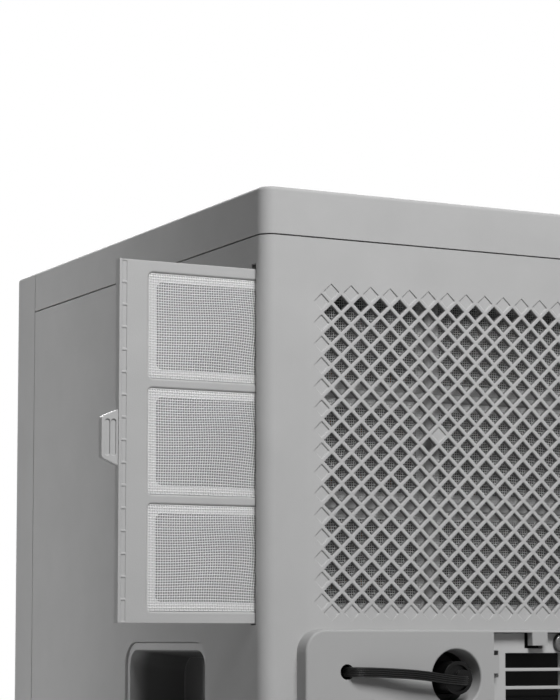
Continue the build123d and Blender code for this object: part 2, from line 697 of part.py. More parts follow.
# Top cover, behind the front panel, with openings for the controls and the outlet
with BuildPart() as top_cover:
    with BuildSketch(Plane.XY.offset(Z_LID)) as cover_outline:
        with Locations((0, shell_y)):
            Rectangle(WIDTH, shell_depth)
        fillet(cover_outline.vertices().group_by(Axis.Y)[-1], CORNER_R)
    extrude(amount=LID_HEIGHT)
    top_rim = top_cover.faces().sort_by(Axis.Z)[-1].edges().filter_by(
        lambda edge: edge.center().Y > Y_SHELL + CLEAR
    )
    fillet(top_rim, EDGE_R)
    with BuildSketch(Plane.XY.offset(Z_LID)) as cover_core:
        with Locations((0, shell_y)):
            Rectangle(WIDTH - 2 * WALL, shell_depth - 2 * WALL)
        fillet(cover_core.vertices().group_by(Axis.Y)[-1], CORNER_R - WALL)
    extrude(amount=LID_HEIGHT - WALL, mode=Mode.SUBTRACT)
    with BuildSketch(Plane.XY.offset(LID_UNDER)):
        with Locations((0, PANEL_Y)):
            RectangleRounded(PANEL_W, PANEL_D, BUTTON_R)
        with Locations((0, OUTLET_Y)):
            RectangleRounded(OUTLET_W, OUTLET_D, BUTTON_R)
    extrude(amount=WALL, mode=Mode.SUBTRACT)
keep(top_cover.part, "top_cover")

# Outlet grille in the top cover, over the blower
with BuildPart() as outlet_grille:
    with BuildSketch(Plane.XY.offset(LID_UNDER - WALL)):
        with Locations((0, OUTLET_Y)):
            RectangleRounded(OUTLET_W + 2 * OUTLET_FLANGE, OUTLET_D + 2 * OUTLET_FLANGE, BUTTON_R)
    extrude(amount=WALL)
    with BuildSketch(Plane.XY.offset(LID_UNDER)):
        with Locations((0, OUTLET_Y)):
            RectangleRounded(OUTLET_W - 2 * CLEAR, OUTLET_D - 2 * CLEAR, BUTTON_R - CLEAR)
    extrude(amount=WALL - PANEL_SINK)
    slat_pitch = (OUTLET_D - 2 * WALL) / (OUTLET_SLATS + 1)
    with BuildSketch(Plane.XY.offset(LID_UNDER - WALL)):
        with Locations((0, OUTLET_Y)):
            Rectangle(OUTLET_W - 2 * WALL, OUTLET_D - 2 * WALL)
    extrude(amount=2 * WALL, mode=Mode.SUBTRACT)
    with BuildSketch(Plane.XY.offset(PANEL_TOP - SLAT_H)):
        with Locations((0, OUTLET_Y)):
            with GridLocations(OUTLET_W, slat_pitch, 1, OUTLET_SLATS):
                Rectangle(OUTLET_W - 2 * WALL, SLAT_T)
            Rectangle(SLAT_T, OUTLET_D - 2 * WALL)
    extrude(amount=SLAT_H)
keep(outlet_grille.part, "outlet_grille")

# Control panel, seated under the top cover, with posts for the circuit board
button_x = [(n - (len(BUTTON_NAMES) - 1) / 2) * BUTTON_PITCH for n in range(len(BUTTON_NAMES))]
post_x, post_y = PANEL_W / 2 - POST_D, PANEL_D / 2 - POST_D / 2
with BuildPart() as control_panel:
    with BuildSketch(Plane.XY.offset(LID_UNDER - WALL)):
        with Locations((0, PANEL_Y)):
            RectangleRounded(PANEL_W + 2 * PANEL_FLANGE, PANEL_D + 2 * PANEL_FLANGE, BUTTON_R)
    extrude(amount=WALL)
    with BuildSketch(Plane.XY.offset(LID_UNDER)):
        with Locations((0, PANEL_Y)):
            RectangleRounded(PANEL_W - 2 * CLEAR, PANEL_D - 2 * CLEAR, BUTTON_R - CLEAR)
    extrude(amount=WALL - PANEL_SINK)
    with BuildSketch(Plane.XY.offset(BOARD_Z + BOARD_T)):
        with Locations((0, PANEL_Y)):
            with GridLocations(2 * post_x, 2 * post_y, 2, 2):
                Circle(POST_D / 2)
    extrude(amount=BOARD_DROP - BOARD_T - WALL)
    with BuildSketch(Plane.XY.offset(PANEL_TOP)):
        for x in button_x:
            with Locations((x, PANEL_Y + BUTTON_ROW_Y)):
                RectangleRounded(BUTTON_W + 2 * CLEAR, BUTTON_D + 2 * CLEAR, BUTTON_R)
    extrude(amount=-2 * WALL, mode=Mode.SUBTRACT)
    with BuildSketch(Plane.XY.offset(PANEL_TOP)):
        with Locations((0, PANEL_Y + DISPLAY_ROW_Y)):
            RectangleRounded(DISPLAY_W, DISPLAY_D, BUTTON_R)
    extrude(amount=-DISPLAY_T, mode=Mode.SUBTRACT)
keep(control_panel.part, "control_panel")

with BuildPart() as display_lens:
    with BuildSketch(Plane.XY.offset(PANEL_TOP - DISPLAY_T)):
        with Locations((0, PANEL_Y + DISPLAY_ROW_Y)):
            RectangleRounded(DISPLAY_W - 2 * CLEAR, DISPLAY_D - 2 * CLEAR, BUTTON_R - CLEAR)
    extrude(amount=DISPLAY_T)
keep(display_lens.part, "display_lens")

with BuildPart() as control_board:
    with BuildSketch(Plane.XY.offset(BOARD_Z)):
        with Locations((0, PANEL_Y)):
            Rectangle(PANEL_W, PANEL_D)
    extrude(amount=BOARD_T)
keep(control_board.part, "control_board")

# Push buttons: a crowned cap, a retaining flange and a stem towards the board
for x, button_name in zip(button_x, BUTTON_NAMES):
    with BuildPart() as button:
        with BuildSketch(Plane.XY.offset(BUTTON_BASE)):
            with Locations((x, PANEL_Y + BUTTON_ROW_Y)):
                RectangleRounded(BUTTON_W + 4 * CLEAR, BUTTON_D + 4 * CLEAR, BUTTON_R)
        extrude(amount=BUTTON_FLANGE - CLEAR)
        with BuildSketch(Plane.XY.offset(BUTTON_BASE)):
            with Locations((x, PANEL_Y + BUTTON_ROW_Y)):
                RectangleRounded(BUTTON_W, BUTTON_D, BUTTON_R - CLEAR)
        extrude(amount=PANEL_TOP + BUTTON_PROUD - BUTTON_BASE)
        fillet(button.faces().sort_by(Axis.Z)[-1].edges(), BUTTON_PROUD * 0.8)
        with BuildSketch(Plane.XY.offset(BUTTON_BASE)):
            with Locations((x, PANEL_Y + BUTTON_ROW_Y)):
                Circle(BUTTON_R)
        extrude(amount=-(BUTTON_BASE - BOARD_Z - BOARD_T - BUTTON_PROUD - CLEAR))
    keep(button.part, f"button_{button_name}")

# Front panel: a full-height shell with the bucket's opening
with BuildPart() as front_panel:
    with BuildSketch(Plane.XY.offset(SKIRT_Z)) as front_outline:
        with Locations((0, Y_FRONT + FRONT_PANEL_DEPTH / 2)):
            Rectangle(WIDTH, FRONT_PANEL_DEPTH)
        fillet(front_outline.vertices().group_by(Axis.Y)[0], FRONT_CORNER_R)
    extrude(amount=HEIGHT - SKIRT_Z)
    front_rim = front_panel.faces().sort_by(Axis.Z)[-1].edges().filter_by(
        lambda edge: edge.center().Y < Y_SEAM - CLEAR
    )
    fillet(front_rim, EDGE_R)
    with BuildSketch(Plane.XY.offset(SKIRT_Z + WALL)) as front_core:
        with Locations((0, Y_FRONT + WALL + FRONT_PANEL_DEPTH / 2)):
            Rectangle(WIDTH - 2 * WALL, FRONT_PANEL_DEPTH)
        fillet(front_core.vertices().group_by(Axis.Y)[0], FRONT_CORNER_R - WALL)
    extrude(amount=HEIGHT - SKIRT_Z - 2 * WALL, mode=Mode.SUBTRACT)
    with BuildSketch(facing_front(Y_SEAM)):
        with Locations((0, FASCIA_CENTRE)):
            RectangleRounded(FASCIA_W + 4 * CLEAR, FASCIA_H + 4 * CLEAR, FASCIA_R + CLEAR)
    extrude(amount=FRONT_PANEL_DEPTH, mode=Mode.SUBTRACT)
keep(front_panel.part, "front_panel")

# Base pan: tray with caster bosses, compressor bosses and bucket rails
with BuildPart() as base_pan:
    pan_y, pan_depth = (PAN_Y0 + PAN_Y1) / 2, PAN_Y1 - PAN_Y0
    with BuildSketch(Plane.XY.offset(PAN_Z)) as pan_outline:
        with Locations((0, pan_y)):
            Rectangle(2 * PAN_X, pan_depth)
        fillet(pan_outline.vertices().group_by(Axis.Y)[-1], CORNER_R - WALL)
    extrude(amount=PAN_WALL_H)
    with BuildSketch(Plane.XY.offset(PAN_Z + PAN_FLOOR)):
        with Locations((0, pan_y - WALL)):
            Rectangle(2 * PAN_X - 2 * WALL, pan_depth)
    extrude(amount=PAN_WALL_H, mode=Mode.SUBTRACT)
    with BuildSketch(Plane.XY.offset(PAN_Z)):
        with GridLocations(2 * CASTER_X, 2 * CASTER_Y, 2, 2):
            Circle(BOSS_D / 2)
        with Locations((COMPRESSOR_X, COMPRESSOR_Y)):
            with PolarLocations(FOOT_SPREAD, 3, start_angle=FOOT_ANGLE):
                Circle(BOSS_D / 2)
    extrude(amount=COMPRESSOR_Z - FOOT_T - GROMMET_H - PAN_Z)
    with BuildSketch(Plane.XY.offset(PAN_Z)):
        for side in (1, -1):
            with Locations((side * BUCKET_W / 4, (PAN_Y0 + BUCKET_Y0 + BUCKET_D) / 2)):
                Rectangle(BOSS_D, BUCKET_Y0 + BUCKET_D - PAN_Y0)
    extrude(amount=BUCKET_Z - CLEAR - PAN_Z)
    with BuildSketch(Plane.XY.offset(PAN_Z)):
        with GridLocations(2 * CASTER_X, 2 * CASTER_Y, 2, 2):
            Circle(STEM_D / 2 + RUNNING)
    extrude(amount=STEM_LENGTH + CLEAR, mode=Mode.SUBTRACT)
    with BuildSketch(Plane.XY.offset(PAN_Z)):
        with Locations((COMPRESSOR_X, COMPRESSOR_Y)):
            with PolarLocations(FOOT_SPREAD, 3, start_angle=FOOT_ANGLE):
                Circle(BOLT_D / 2 + RUNNING)
    extrude(amount=PAN_WALL_H, mode=Mode.SUBTRACT)
keep(base_pan.part, "base_pan")

# Casters: fork with its axle pin, and wheel
caster_places = [
    ("front_left", CASTER_X, -CASTER_Y),
    ("front_right", -CASTER_X, -CASTER_Y),
    ("rear_left", CASTER_X, CASTER_Y),
    ("rear_right", -CASTER_X, CASTER_Y),
]
cheek_x = WHEEL_W / 2 + CLEAR + FORK_T / 2
for corner, x, y in caster_places:
    with BuildPart() as caster_fork:
        with BuildSketch(Plane.XY.offset(FORK_TOP)):
            with Locations((x, y)):
                Circle(STEM_D / 2)
        extrude(amount=STEM_LENGTH)
        with BuildSketch(Plane.XY.offset(FORK_TOP - FORK_PLATE)):
            with Locations((x, y + TRAIL / 2)):
                SlotOverall(2 * cheek_x + FORK_T + TRAIL, 2 * cheek_x + FORK_T, rotation=90)
        extrude(amount=FORK_PLATE)
        for side in (1, -1):
            with BuildSketch(facing_side(x + side * cheek_x - FORK_T / 2)):
                with Locations((y + TRAIL, WHEEL_R)):
                    Circle(AXLE_D)
                with Locations((y + TRAIL, (WHEEL_R + FORK_TOP - FORK_PLATE / 2) / 2)):
                    Rectangle(2 * AXLE_D, FORK_TOP - FORK_PLATE / 2 - WHEEL_R)
            extrude(amount=FORK_T)
        with BuildSketch(facing_side(x - cheek_x)):
            with Locations((y + TRAIL, WHEEL_R)):
                Circle(AXLE_D / 2)
        extrude(amount=2 * cheek_x)
    keep(caster_fork.part, f"caster_fork_{corner}")
    with BuildPart() as caster_wheel:
        with BuildSketch(facing_side(x - WHEEL_W / 2)):
            with Locations((y + TRAIL, WHEEL_R)):
                Circle(WHEEL_R)
                Circle(AXLE_D / 2 + RUNNING, mode=Mode.SUBTRACT)
        extrude(amount=WHEEL_W)
        tread_rims = caster_wheel.edges().filter_by(
            lambda edge: edge.geom_type == GeomType.CIRCLE and edge.radius > WHEEL_R - CLEAR
        )
        fillet(tread_rims, FORK_T * 0.8)
    keep(caster_wheel.part, f"caster_wheel_{corner}")

# Water bucket: tank, fascia, level window, lid, bail handle and float
float_pin_y = BUCKET_Y0 + BUCKET_D - BUCKET_WALL - FLOAT_PIN_D - CLEAR
float_pin_z = BUCKET_TOP - 2 * FLOAT_H
with BuildPart() as bucket_tank:
    with BuildSketch(Plane.XY.offset(BUCKET_Z)):
        with Locations((0, BUCKET_Y)):
            RectangleRounded(BUCKET_W, BUCKET_D, BUCKET_R)
    extrude(amount=BUCKET_H)
    with BuildSketch(Plane.XY.offset(BUCKET_Z + BUCKET_WALL)):
        with Locations((0, BUCKET_Y)):
            RectangleRounded(BUCKET_W - 2 * BUCKET_WALL, BUCKET_D - 2 * BUCKET_WALL, BUCKET_R - BUCKET_WALL)
    extrude(amount=BUCKET_H, mode=Mode.SUBTRACT)
    # Bracket and pin for the float, on the back wall
    for side in (1, -1):
        with BuildSketch(facing_side(side * (FLOAT_W / 4 + CLEAR) - (BUCKET_WALL if side < 0 else 0))):
            with Locations((BUCKET_Y0 + BUCKET_D - BUCKET_WALL - FLOAT_PIN_D, float_pin_z)):
                Rectangle(2 * FLOAT_PIN_D, 2 * FLOAT_PIN_D)
        extrude(amount=BUCKET_WALL)
    with BuildSketch(facing_side(-FLOAT_W / 4 - CLEAR)):
        with Locations((float_pin_y, float_pin_z)):
            Circle(FLOAT_PIN_D / 2)
    extrude(amount=FLOAT_W / 2 + 2 * CLEAR)
keep(bucket_tank.part, "bucket_tank")

with BuildPart() as bucket_front:
    with BuildSketch(facing_front(Y_FRONT + FASCIA_T)):
        with Locations((0, FASCIA_CENTRE)):
            RectangleRounded(FASCIA_W, FASCIA_H, FASCIA_R)
        with Locations((0, WINDOW_Z)):
            SlotOverall(WINDOW_H, WINDOW_W, rotation=90, mode=Mode.SUBTRACT)
        with Locations((0, FASCIA_Z + FASCIA_H)):
            Rectangle(GRIP_W, 2 * GRIP_H, mode=Mode.SUBTRACT)
    extrude(amount=FASCIA_T)
    grip_corners = bucket_front.edges().filter_by(Axis.Y).filter_by(
        lambda edge: abs(abs(edge.center().X) - GRIP_W / 2) < CLEAR
    )
    fillet(grip_corners, GRIP_H / 3)
keep(bucket_front.part, "bucket_front")

with BuildPart() as level_window:
    with BuildSketch(facing_front(Y_FRONT + FASCIA_T)):
        with Locations((0, WINDOW_Z)):
            SlotOverall(WINDOW_H - 2 * CLEAR, WINDOW_W - 2 * CLEAR, rotation=90)
    extrude(amount=FASCIA_T)
keep(level_window.part, "level_window")

ear_reach = BAIL_Z + BAIL_PIVOT_D - LID_TOP
with BuildPart() as bucket_lid:
    with BuildSketch(Plane.XY.offset(BUCKET_TOP + CLEAR)):
        with Locations((0, BUCKET_Y)):
            RectangleRounded(BUCKET_W, BUCKET_D, BUCKET_R)
            with Locations((0, BUCKET_D / 4)):
                SlotOverall(BUCKET_W / 3, BUCKET_R, mode=Mode.SUBTRACT)
    extrude(amount=LID_T)
    with BuildSketch(Plane.XY.offset(BUCKET_TOP - BUCKET_WALL)):
        with Locations((0, BUCKET_Y)):
            lip_gap = BUCKET_WALL + CLEAR
            RectangleRounded(BUCKET_W - 2 * lip_gap, BUCKET_D - 2 * lip_gap, BUCKET_R - lip_gap)
            RectangleRounded(
                BUCKET_W - 4 * lip_gap, BUCKET_D - 4 * lip_gap, BUCKET_R - 2 * lip_gap, mode=Mode.SUBTRACT
            )
    extrude(amount=BUCKET_WALL + CLEAR)
    for side in (1, -1):
        with BuildSketch(facing_side(side * (BAIL_X + BAIL_D / 2 + CLEAR + BAIL_EAR / 4) - BAIL_EAR / 4)):
            with Locations((BAIL_Y, LID_TOP + ear_reach / 2 - LID_T / 2)):
                Rectangle(BAIL_EAR, ear_reach + LID_T)
            with Locations((BAIL_Y, BAIL_Z)):
                Circle(BAIL_PIVOT_D / 2 + RUNNING, mode=Mode.SUBTRACT)
        extrude(amount=BAIL_EAR / 2)
keep(bucket_lid.part, "bucket_lid")

# Bail handle: lies back on the lid and swings up about its two pivots
with BuildPart() as bucket_handle:
    with BuildLine() as bail_line:
        FilletPolyline(
            (BAIL_X, BAIL_Y, BAIL_Z),
            (BAIL_X, BAIL_Y + BAIL_ARM, BAIL_Z),
            (-BAIL_X, BAIL_Y + BAIL_ARM, BAIL_Z),
            (-BAIL_X, BAIL_Y, BAIL_Z),
            radius=BAIL_D,
        )
    with BuildSketch(Plane(origin=(BAIL_X, BAIL_Y, BAIL_Z), z_dir=(0, 1, 0))):
        Circle(BAIL_D / 2)
    sweep()
    for side in (1, -1):
        with BuildSketch(facing_side(side * BAIL_X)):
            with Locations((BAIL_Y, BAIL_Z)):
                Circle(BAIL_D / 2)
        extrude(amount=BAIL_D / 4, both=True)
        with BuildSketch(facing_side(side * BAIL_X)):
            with Locations((BAIL_Y, BAIL_Z)):
                Circle(BAIL_PIVOT_D / 2)
        extrude(amount=side * (BAIL_D / 2 + CLEAR + BAIL_EAR / 2))
keep(bucket_handle.part, "bucket_handle")

# Float with its arm, on the pin at the tank's back wall
with BuildPart() as bucket_float:
    with BuildSketch(facing_side(-FLOAT_W / 4)):
        with Locations((float_pin_y, float_pin_z)):
            Circle(FLOAT_PIN_D)
        with Locations((float_pin_y - FLOAT_ARM / 2, float_pin_z)):
            Rectangle(FLOAT_ARM, FLOAT_PIN_D)
        with Locations((float_pin_y, float_pin_z)):
            Circle(FLOAT_PIN_D / 2 + RUNNING, mode=Mode.SUBTRACT)
    extrude(amount=FLOAT_W / 2)
    with BuildSketch(Plane.XY.offset(float_pin_z - FLOAT_H / 2)):
        with Locations((0, float_pin_y - FLOAT_ARM - FLOAT_D / 2 + FLOAT_PIN_D)):
            RectangleRounded(FLOAT_W, FLOAT_D, BUTTON_R)
    extrude(amount=FLOAT_H)
keep(bucket_float.part, "bucket_float")

# Deck between the bucket space and the air path, notched round the handle cups
with BuildPart() as deck:
    deck_x = X_INNER - CLEAR
    cup_notch = deck_x - CUP_X + 2 * CLEAR
    with BuildSketch(Plane.XY.offset(DECK_Z)):
        with Locations((0, (Y_SHELL + DECK_Y1) / 2)):
            Rectangle(2 * deck_x, DECK_Y1 - Y_SHELL)
        for side in (1, -1):
            with Locations((side * (deck_x - cup_notch / 2), HANDLE_Y)):
                Rectangle(
                    cup_notch, HANDLE_WIDTH + 2 * HANDLE_FLANGE + 4 * CLEAR, mode=Mode.SUBTRACT
                )
        with Locations((PIPE_X, EVAPORATOR_Y), (PIPE_X, EVAPORATOR_Y + 2 * PIPE_D)):
            Circle(PIPE_D / 2 + CLEAR, mode=Mode.SUBTRACT)
        with Locations((0, (TRAY_Y0 + TRAY_Y1) / 2)):
            Circle(SPIGOT_D / 2 + CLEAR, mode=Mode.SUBTRACT)
    extrude(amount=DECK_T)
keep(deck.part, "deck")

# Drip tray under both coils, with its downspout
with BuildPart() as drip_tray:
    tray_y, tray_d = (TRAY_Y0 + TRAY_Y1) / 2, TRAY_Y1 - TRAY_Y0
    with BuildSketch(Plane.XY.offset(DECK_TOP)):
        with Locations((0, tray_y)):
            Rectangle(TRAY_W, tray_d)
    extrude(amount=TRAY_H)
    with BuildSketch(Plane.XY.offset(DECK_TOP + TRAY_WALL)):
        with Locations((0, tray_y)):
            Rectangle(TRAY_W - 2 * TRAY_WALL, tray_d - 2 * TRAY_WALL)
    extrude(amount=TRAY_H, mode=Mode.SUBTRACT)
    with BuildSketch(Plane.XY.offset(DECK_Z - DECK_T)):
        with Locations((0, tray_y)):
            Circle(SPIGOT_D / 2)
    extrude(amount=2 * DECK_T)
    with BuildSketch(Plane.XY.offset(DECK_Z - DECK_T)):
        with Locations((0, tray_y)):
            Circle(SPIGOT_BORE / 2)
    extrude(amount=4 * DECK_T, mode=Mode.SUBTRACT)
    with Locations((DRAIN_X, TRAY_Y1, DRAIN_Z)):
        Cylinder(SPIGOT_BORE / 2, 4 * TRAY_WALL, rotation=(90, 0, 0), mode=Mode.SUBTRACT)
keep(drip_tray.part, "drip_tray")

# Drain spigot from the tray's back wall into the drain cup
with BuildPart() as drain_spigot:
    with BuildSketch(facing_front(SPIGOT_TIP)):
        with Locations((DRAIN_X, DRAIN_Z)):
            Circle(SPIGOT_D / 2)
            Circle(SPIGOT_BORE / 2, mode=Mode.SUBTRACT)
    extrude(amount=SPIGOT_TIP - TRAY_Y1)
keep(drain_spigot.part, "drain_spigot")

# Drain cap: a soft cup over the spigot with a raised ring and a knob for its strap
with BuildPart() as drain_cap:
    with BuildSketch(facing_front(CAP_FACE)):
        with Locations((DRAIN_X, DRAIN_Z)):
            Circle(CAP_D / 2)
    extrude(amount=CAP_LENGTH)
    with BuildSketch(facing_front(CAP_FACE - CAP_RIM)):
        with Locations((DRAIN_X, DRAIN_Z)):
            Circle(SPIGOT_D / 2 + CAP_FIT)
    extrude(amount=CAP_LENGTH, mode=Mode.SUBTRACT)
    with BuildSketch(facing_front(CAP_FACE + CAP_RIM)):
        with Locations((DRAIN_X, DRAIN_Z)):
            Circle(CAP_D / 2)
            Circle(CAP_D / 2 - CAP_RIM, mode=Mode.SUBTRACT)
        with Locations((KNOB_X, DRAIN_Z)):
            Circle(TETHER_W / 2 + CAP_RIM)
    extrude(amount=CAP_RIM)
keep(drain_cap.part, "drain_cap")

# Strap of the cap: out of its anchor hole, bowed over the panel and back to the cap's knob
strap_bow = Y_PLATFORM + TETHER_BOW
strap_lift = CAP_FACE + CAP_RIM + TETHER_LIFT
strap_start = (TETHER_X, Y_PLATFORM - WALL, TETHER_Z)
strap_end = (KNOB_X, CAP_FACE + CAP_RIM + CLEAR, DRAIN_Z)
strap_route = [
    strap_start,
    (TETHER_X, strap_bow - 2.5, TETHER_Z),
    (TETHER_X - 14.0, strap_bow + 1.0, TETHER_Z - 0.2),
    (TETHER_X - 32.0, strap_bow, TETHER_Z - 1.2),
    (KNOB_X + 9.0, strap_lift + 0.8, DRAIN_Z + 0.4),
    (KNOB_X, strap_lift, DRAIN_Z),
    strap_end,
]


def route_radii(points, share=0.45):
    """Arc radius at each inner point: a share of the shorter run over the half turn's tangent."""
    vectors = [Vector(*point) for point in points]
    radii = []
    for before, here, after in zip(vectors, vectors[1:], vectors[2:]):
        turn = (here - before).get_angle(after - here)
        shorter = min((here - before).length, (after - here).length)
        radii.append(share * shorter * cos(radians(turn / 2)) / sin(radians(turn / 2)))
    return radii


with BuildPart() as cap_tether:
    with BuildLine() as strap_line:
        FilletPolyline(*strap_route, radius=route_radii(strap_route))
    with BuildSketch(Plane(origin=strap_start, x_dir=(1, 0, 0), z_dir=(0, 1, 0))):
        RectangleRounded(TETHER_T, TETHER_W, TETHER_T * 0.4)
    sweep()
keep(cap_tether.part, "cap_tether")

# Coils: serpentine tube through a pack of fins, evaporator behind condenser
tube_rows = [COIL_LOW + n * COIL_PITCH for n in range(COIL_ROWS)]
for coil_name, coil_y in (("evaporator", EVAPORATOR_Y), ("condenser", CONDENSER_Y)):
    with BuildPart() as coil_fins:
        fin_pitch = 2 * (COIL_X - COIL_END_T) / (COIL_FINS + 1)
        fin_x = [-COIL_X + COIL_END_T + (n + 1) * fin_pitch for n in range(COIL_FINS)]
        fin_planes = [facing_side(x - COIL_FIN_T / 2) for x in fin_x]
        end_planes = [facing_side(-COIL_X), facing_side(COIL_X - COIL_END_T)]
        for planes, thickness, z_low in (
            (fin_planes, COIL_FIN_T, COIL_LOW - COIL_PITCH / 2),
            (end_planes, COIL_END_T, TRAY_TOP),
        ):
            with BuildSketch(*planes):
                with Locations((coil_y, (z_low + COIL_TOP) / 2)):
                    Rectangle(COIL_DEPTH, COIL_TOP - z_low)
                with Locations(*[(coil_y, z) for z in tube_rows]):
                    Circle(COIL_TUBE_D / 2 + RUNNING, mode=Mode.SUBTRACT)
            extrude(amount=thickness)
    keep(coil_fins.part, f"{coil_name}_fins")
    with BuildPart() as coil_tube:
        with BuildLine() as serpentine:
            for row, z in enumerate(tube_rows):
                way = 1 if row % 2 == 0 else -1
                Line((-way * COIL_HALF_SPAN, coil_y, z), (way * COIL_HALF_SPAN, coil_y, z))
                if row + 1 < COIL_ROWS:
                    ThreePointArc(
                        (way * COIL_HALF_SPAN, coil_y, z),
                        (way * (COIL_HALF_SPAN + COIL_PITCH / 2), coil_y, z + COIL_PITCH / 2),
                        (way * COIL_HALF_SPAN, coil_y, z + COIL_PITCH),
                    )
        with BuildSketch(facing_side(-COIL_HALF_SPAN)):
            with Locations((coil_y, tube_rows[0])):
                Circle(COIL_TUBE_D / 2)
        sweep()
    keep(coil_tube.part, f"{coil_name}_tube")

# Blower: housing, wheel, shaft and motor
with BuildPart() as blower_housing:
    blower_y, blower_d = (BLOWER_Y0 + BLOWER_Y1) / 2, BLOWER_Y1 - BLOWER_Y0
    with BuildSketch(Plane.XY.offset(DECK_TOP)):
        with Locations((0, blower_y)):
            Rectangle(BLOWER_W, blower_d)
    extrude(amount=BLOWER_TOP - DECK_TOP)
    with BuildSketch(Plane.XY.offset(DECK_TOP + BLOWER_WALL)):
        with Locations((0, blower_y)):
            Rectangle(BLOWER_W - 2 * BLOWER_WALL, blower_d - 2 * BLOWER_WALL)
    extrude(amount=BLOWER_TOP, mode=Mode.SUBTRACT)
    with BuildSketch(facing_front(BLOWER_Y1)):
        with Locations((0, FAN_Z)):
            Circle(INLET_D / 2)
    extrude(amount=2 * BLOWER_WALL, mode=Mode.SUBTRACT)
    with BuildSketch(facing_front(BLOWER_Y0)):
        with Locations((0, FAN_Z)):
            Circle(HUB_D / 2 + CLEAR)
    extrude(amount=-2 * BLOWER_WALL, mode=Mode.SUBTRACT)
keep(blower_housing.part, "blower_housing")

with BuildPart() as fan_wheel:
    with BuildSketch(facing_front(FAN_Y0 + FAN_PLATE)):
        with Locations((0, FAN_Z)):
            Circle(WHEEL_D / 2)
    extrude(amount=FAN_PLATE)
    with BuildSketch(facing_front(FAN_Y1)):
        with Locations((0, FAN_Z)):
            Circle(WHEEL_D / 2)
            Circle(WHEEL_D / 2 - FAN_BLADE_CHORD, mode=Mode.SUBTRACT)
    extrude(amount=FAN_PLATE)
    with BuildSketch(facing_front(FAN_Y1 - FAN_PLATE)):
        with Locations((0, FAN_Z)):
            with PolarLocations(WHEEL_D / 2 - FAN_BLADE_CHORD / 2, FAN_BLADES):
                Rectangle(FAN_BLADE_CHORD * 0.9, FAN_BLADE_T, rotation=35)
    extrude(amount=FAN_Y1 - FAN_Y0 - 2 * FAN_PLATE)
    with BuildSketch(facing_front(FAN_Y1 - 4 * FAN_PLATE)):
        with Locations((0, FAN_Z)):
            Circle(HUB_D / 2)
    extrude(amount=FAN_Y1 - 4 * FAN_PLATE - FAN_Y0)
    with BuildSketch(facing_front(FAN_Y1)):
        with Locations((0, FAN_Z)):
            Circle(SHAFT_D / 2 + RUNNING)
    extrude(amount=FAN_Y1 - FAN_Y0, mode=Mode.SUBTRACT)
keep(fan_wheel.part, "fan_wheel")

with BuildPart() as fan_shaft:
    with BuildSketch(facing_front(FAN_Y1 - 4 * FAN_PLATE)):
        with Locations((0, FAN_Z)):
            Circle(SHAFT_D / 2)
    extrude(amount=FAN_Y1 - 4 * FAN_PLATE - BLOWER_Y0 + MOTOR_LENGTH / 2)
keep(fan_shaft.part, "fan_shaft")

with BuildPart() as fan_motor:
    with BuildSketch(facing_front(BLOWER_Y0)):
        with Locations((0, FAN_Z)):
            Circle(MOTOR_D / 2)
    extrude(amount=MOTOR_LENGTH)
    can_rim = fan_motor.faces().sort_by(Axis.Y)[0].edges()
    fillet(can_rim, SHAFT_D)
    with BuildSketch(facing_front(BLOWER_Y0)):
        with Locations((0, FAN_Z)):
            Circle(SHAFT_D / 2 + RUNNING)
    extrude(amount=MOTOR_LENGTH / 2 + CLEAR, mode=Mode.SUBTRACT)
keep(fan_motor.part, "fan_motor")

# Compressor on its three rubber mounts
foot_angles = [FOOT_ANGLE + 120 * n for n in range(3)]
foot_places = [
    (COMPRESSOR_X + FOOT_SPREAD * cos(radians(a)), COMPRESSOR_Y + FOOT_SPREAD * sin(radians(a)))
    for a in foot_angles
]
with BuildPart() as compressor:
    with BuildSketch(Plane.XY.offset(COMPRESSOR_Z)):
        with Locations((COMPRESSOR_X, COMPRESSOR_Y)):
            Circle(COMPRESSOR_D / 2)
    extrude(amount=COMPRESSOR_H)
    can_rims = compressor.edges().filter_by(GeomType.CIRCLE)
    fillet(can_rims, COMPRESSOR_D / 5)
keep(compressor.part, "compressor")

with BuildPart() as compressor_foot:
    with BuildSketch(Plane.XY.offset(COMPRESSOR_Z - FOOT_T)):
        with Locations((COMPRESSOR_X, COMPRESSOR_Y)):
            Circle(COMPRESSOR_D / 2 - GROMMET_D / 2)
        for x, y in foot_places:
            SlotCenterPoint(
                ((COMPRESSOR_X + x) / 2, (COMPRESSOR_Y + y) / 2), (x, y), GROMMET_D
            )
        with Locations(*foot_places):
            Circle(BOLT_D / 2 + CLEAR, mode=Mode.SUBTRACT)
    extrude(amount=FOOT_T)
keep(compressor_foot.part, "compressor_foot")

with BuildPart() as compressor_grommets:
    with BuildSketch(Plane.XY.offset(COMPRESSOR_Z - FOOT_T - GROMMET_H)):
        with Locations(*foot_places):
            Circle(GROMMET_D / 2)
            Circle(BOLT_D / 2 + CLEAR, mode=Mode.SUBTRACT)
    extrude(amount=GROMMET_H)
keep(compressor_grommets.part, "compressor_grommets")

with BuildPart() as compressor_bolts:
    with BuildSketch(Plane.XY.offset(PAN_Z + PAN_FLOOR)):
        with Locations(*foot_places):
            Circle(BOLT_D / 2)
    extrude(amount=COMPRESSOR_Z + NUT_H - PAN_Z - PAN_FLOOR)
    with BuildSketch(Plane.XY.offset(COMPRESSOR_Z)):
        with Locations(*foot_places):
            RegularPolygon(BOLT_D, 6)
    extrude(amount=NUT_H)
keep(compressor_bolts.part, "compressor_bolts")

with BuildPart() as accumulator:
    accumulator_z = COMPRESSOR_Z + COMPRESSOR_H / 3
    with BuildSketch(Plane.XY.offset(accumulator_z)):
        with Locations((ACCUMULATOR_X, ACCUMULATOR_Y)):
            Circle(ACCUMULATOR_D / 2)
    extrude(amount=ACCUMULATOR_H)
    fillet(accumulator.edges().filter_by(GeomType.CIRCLE), ACCUMULATOR_D / 4)
keep(accumulator.part, "accumulator")


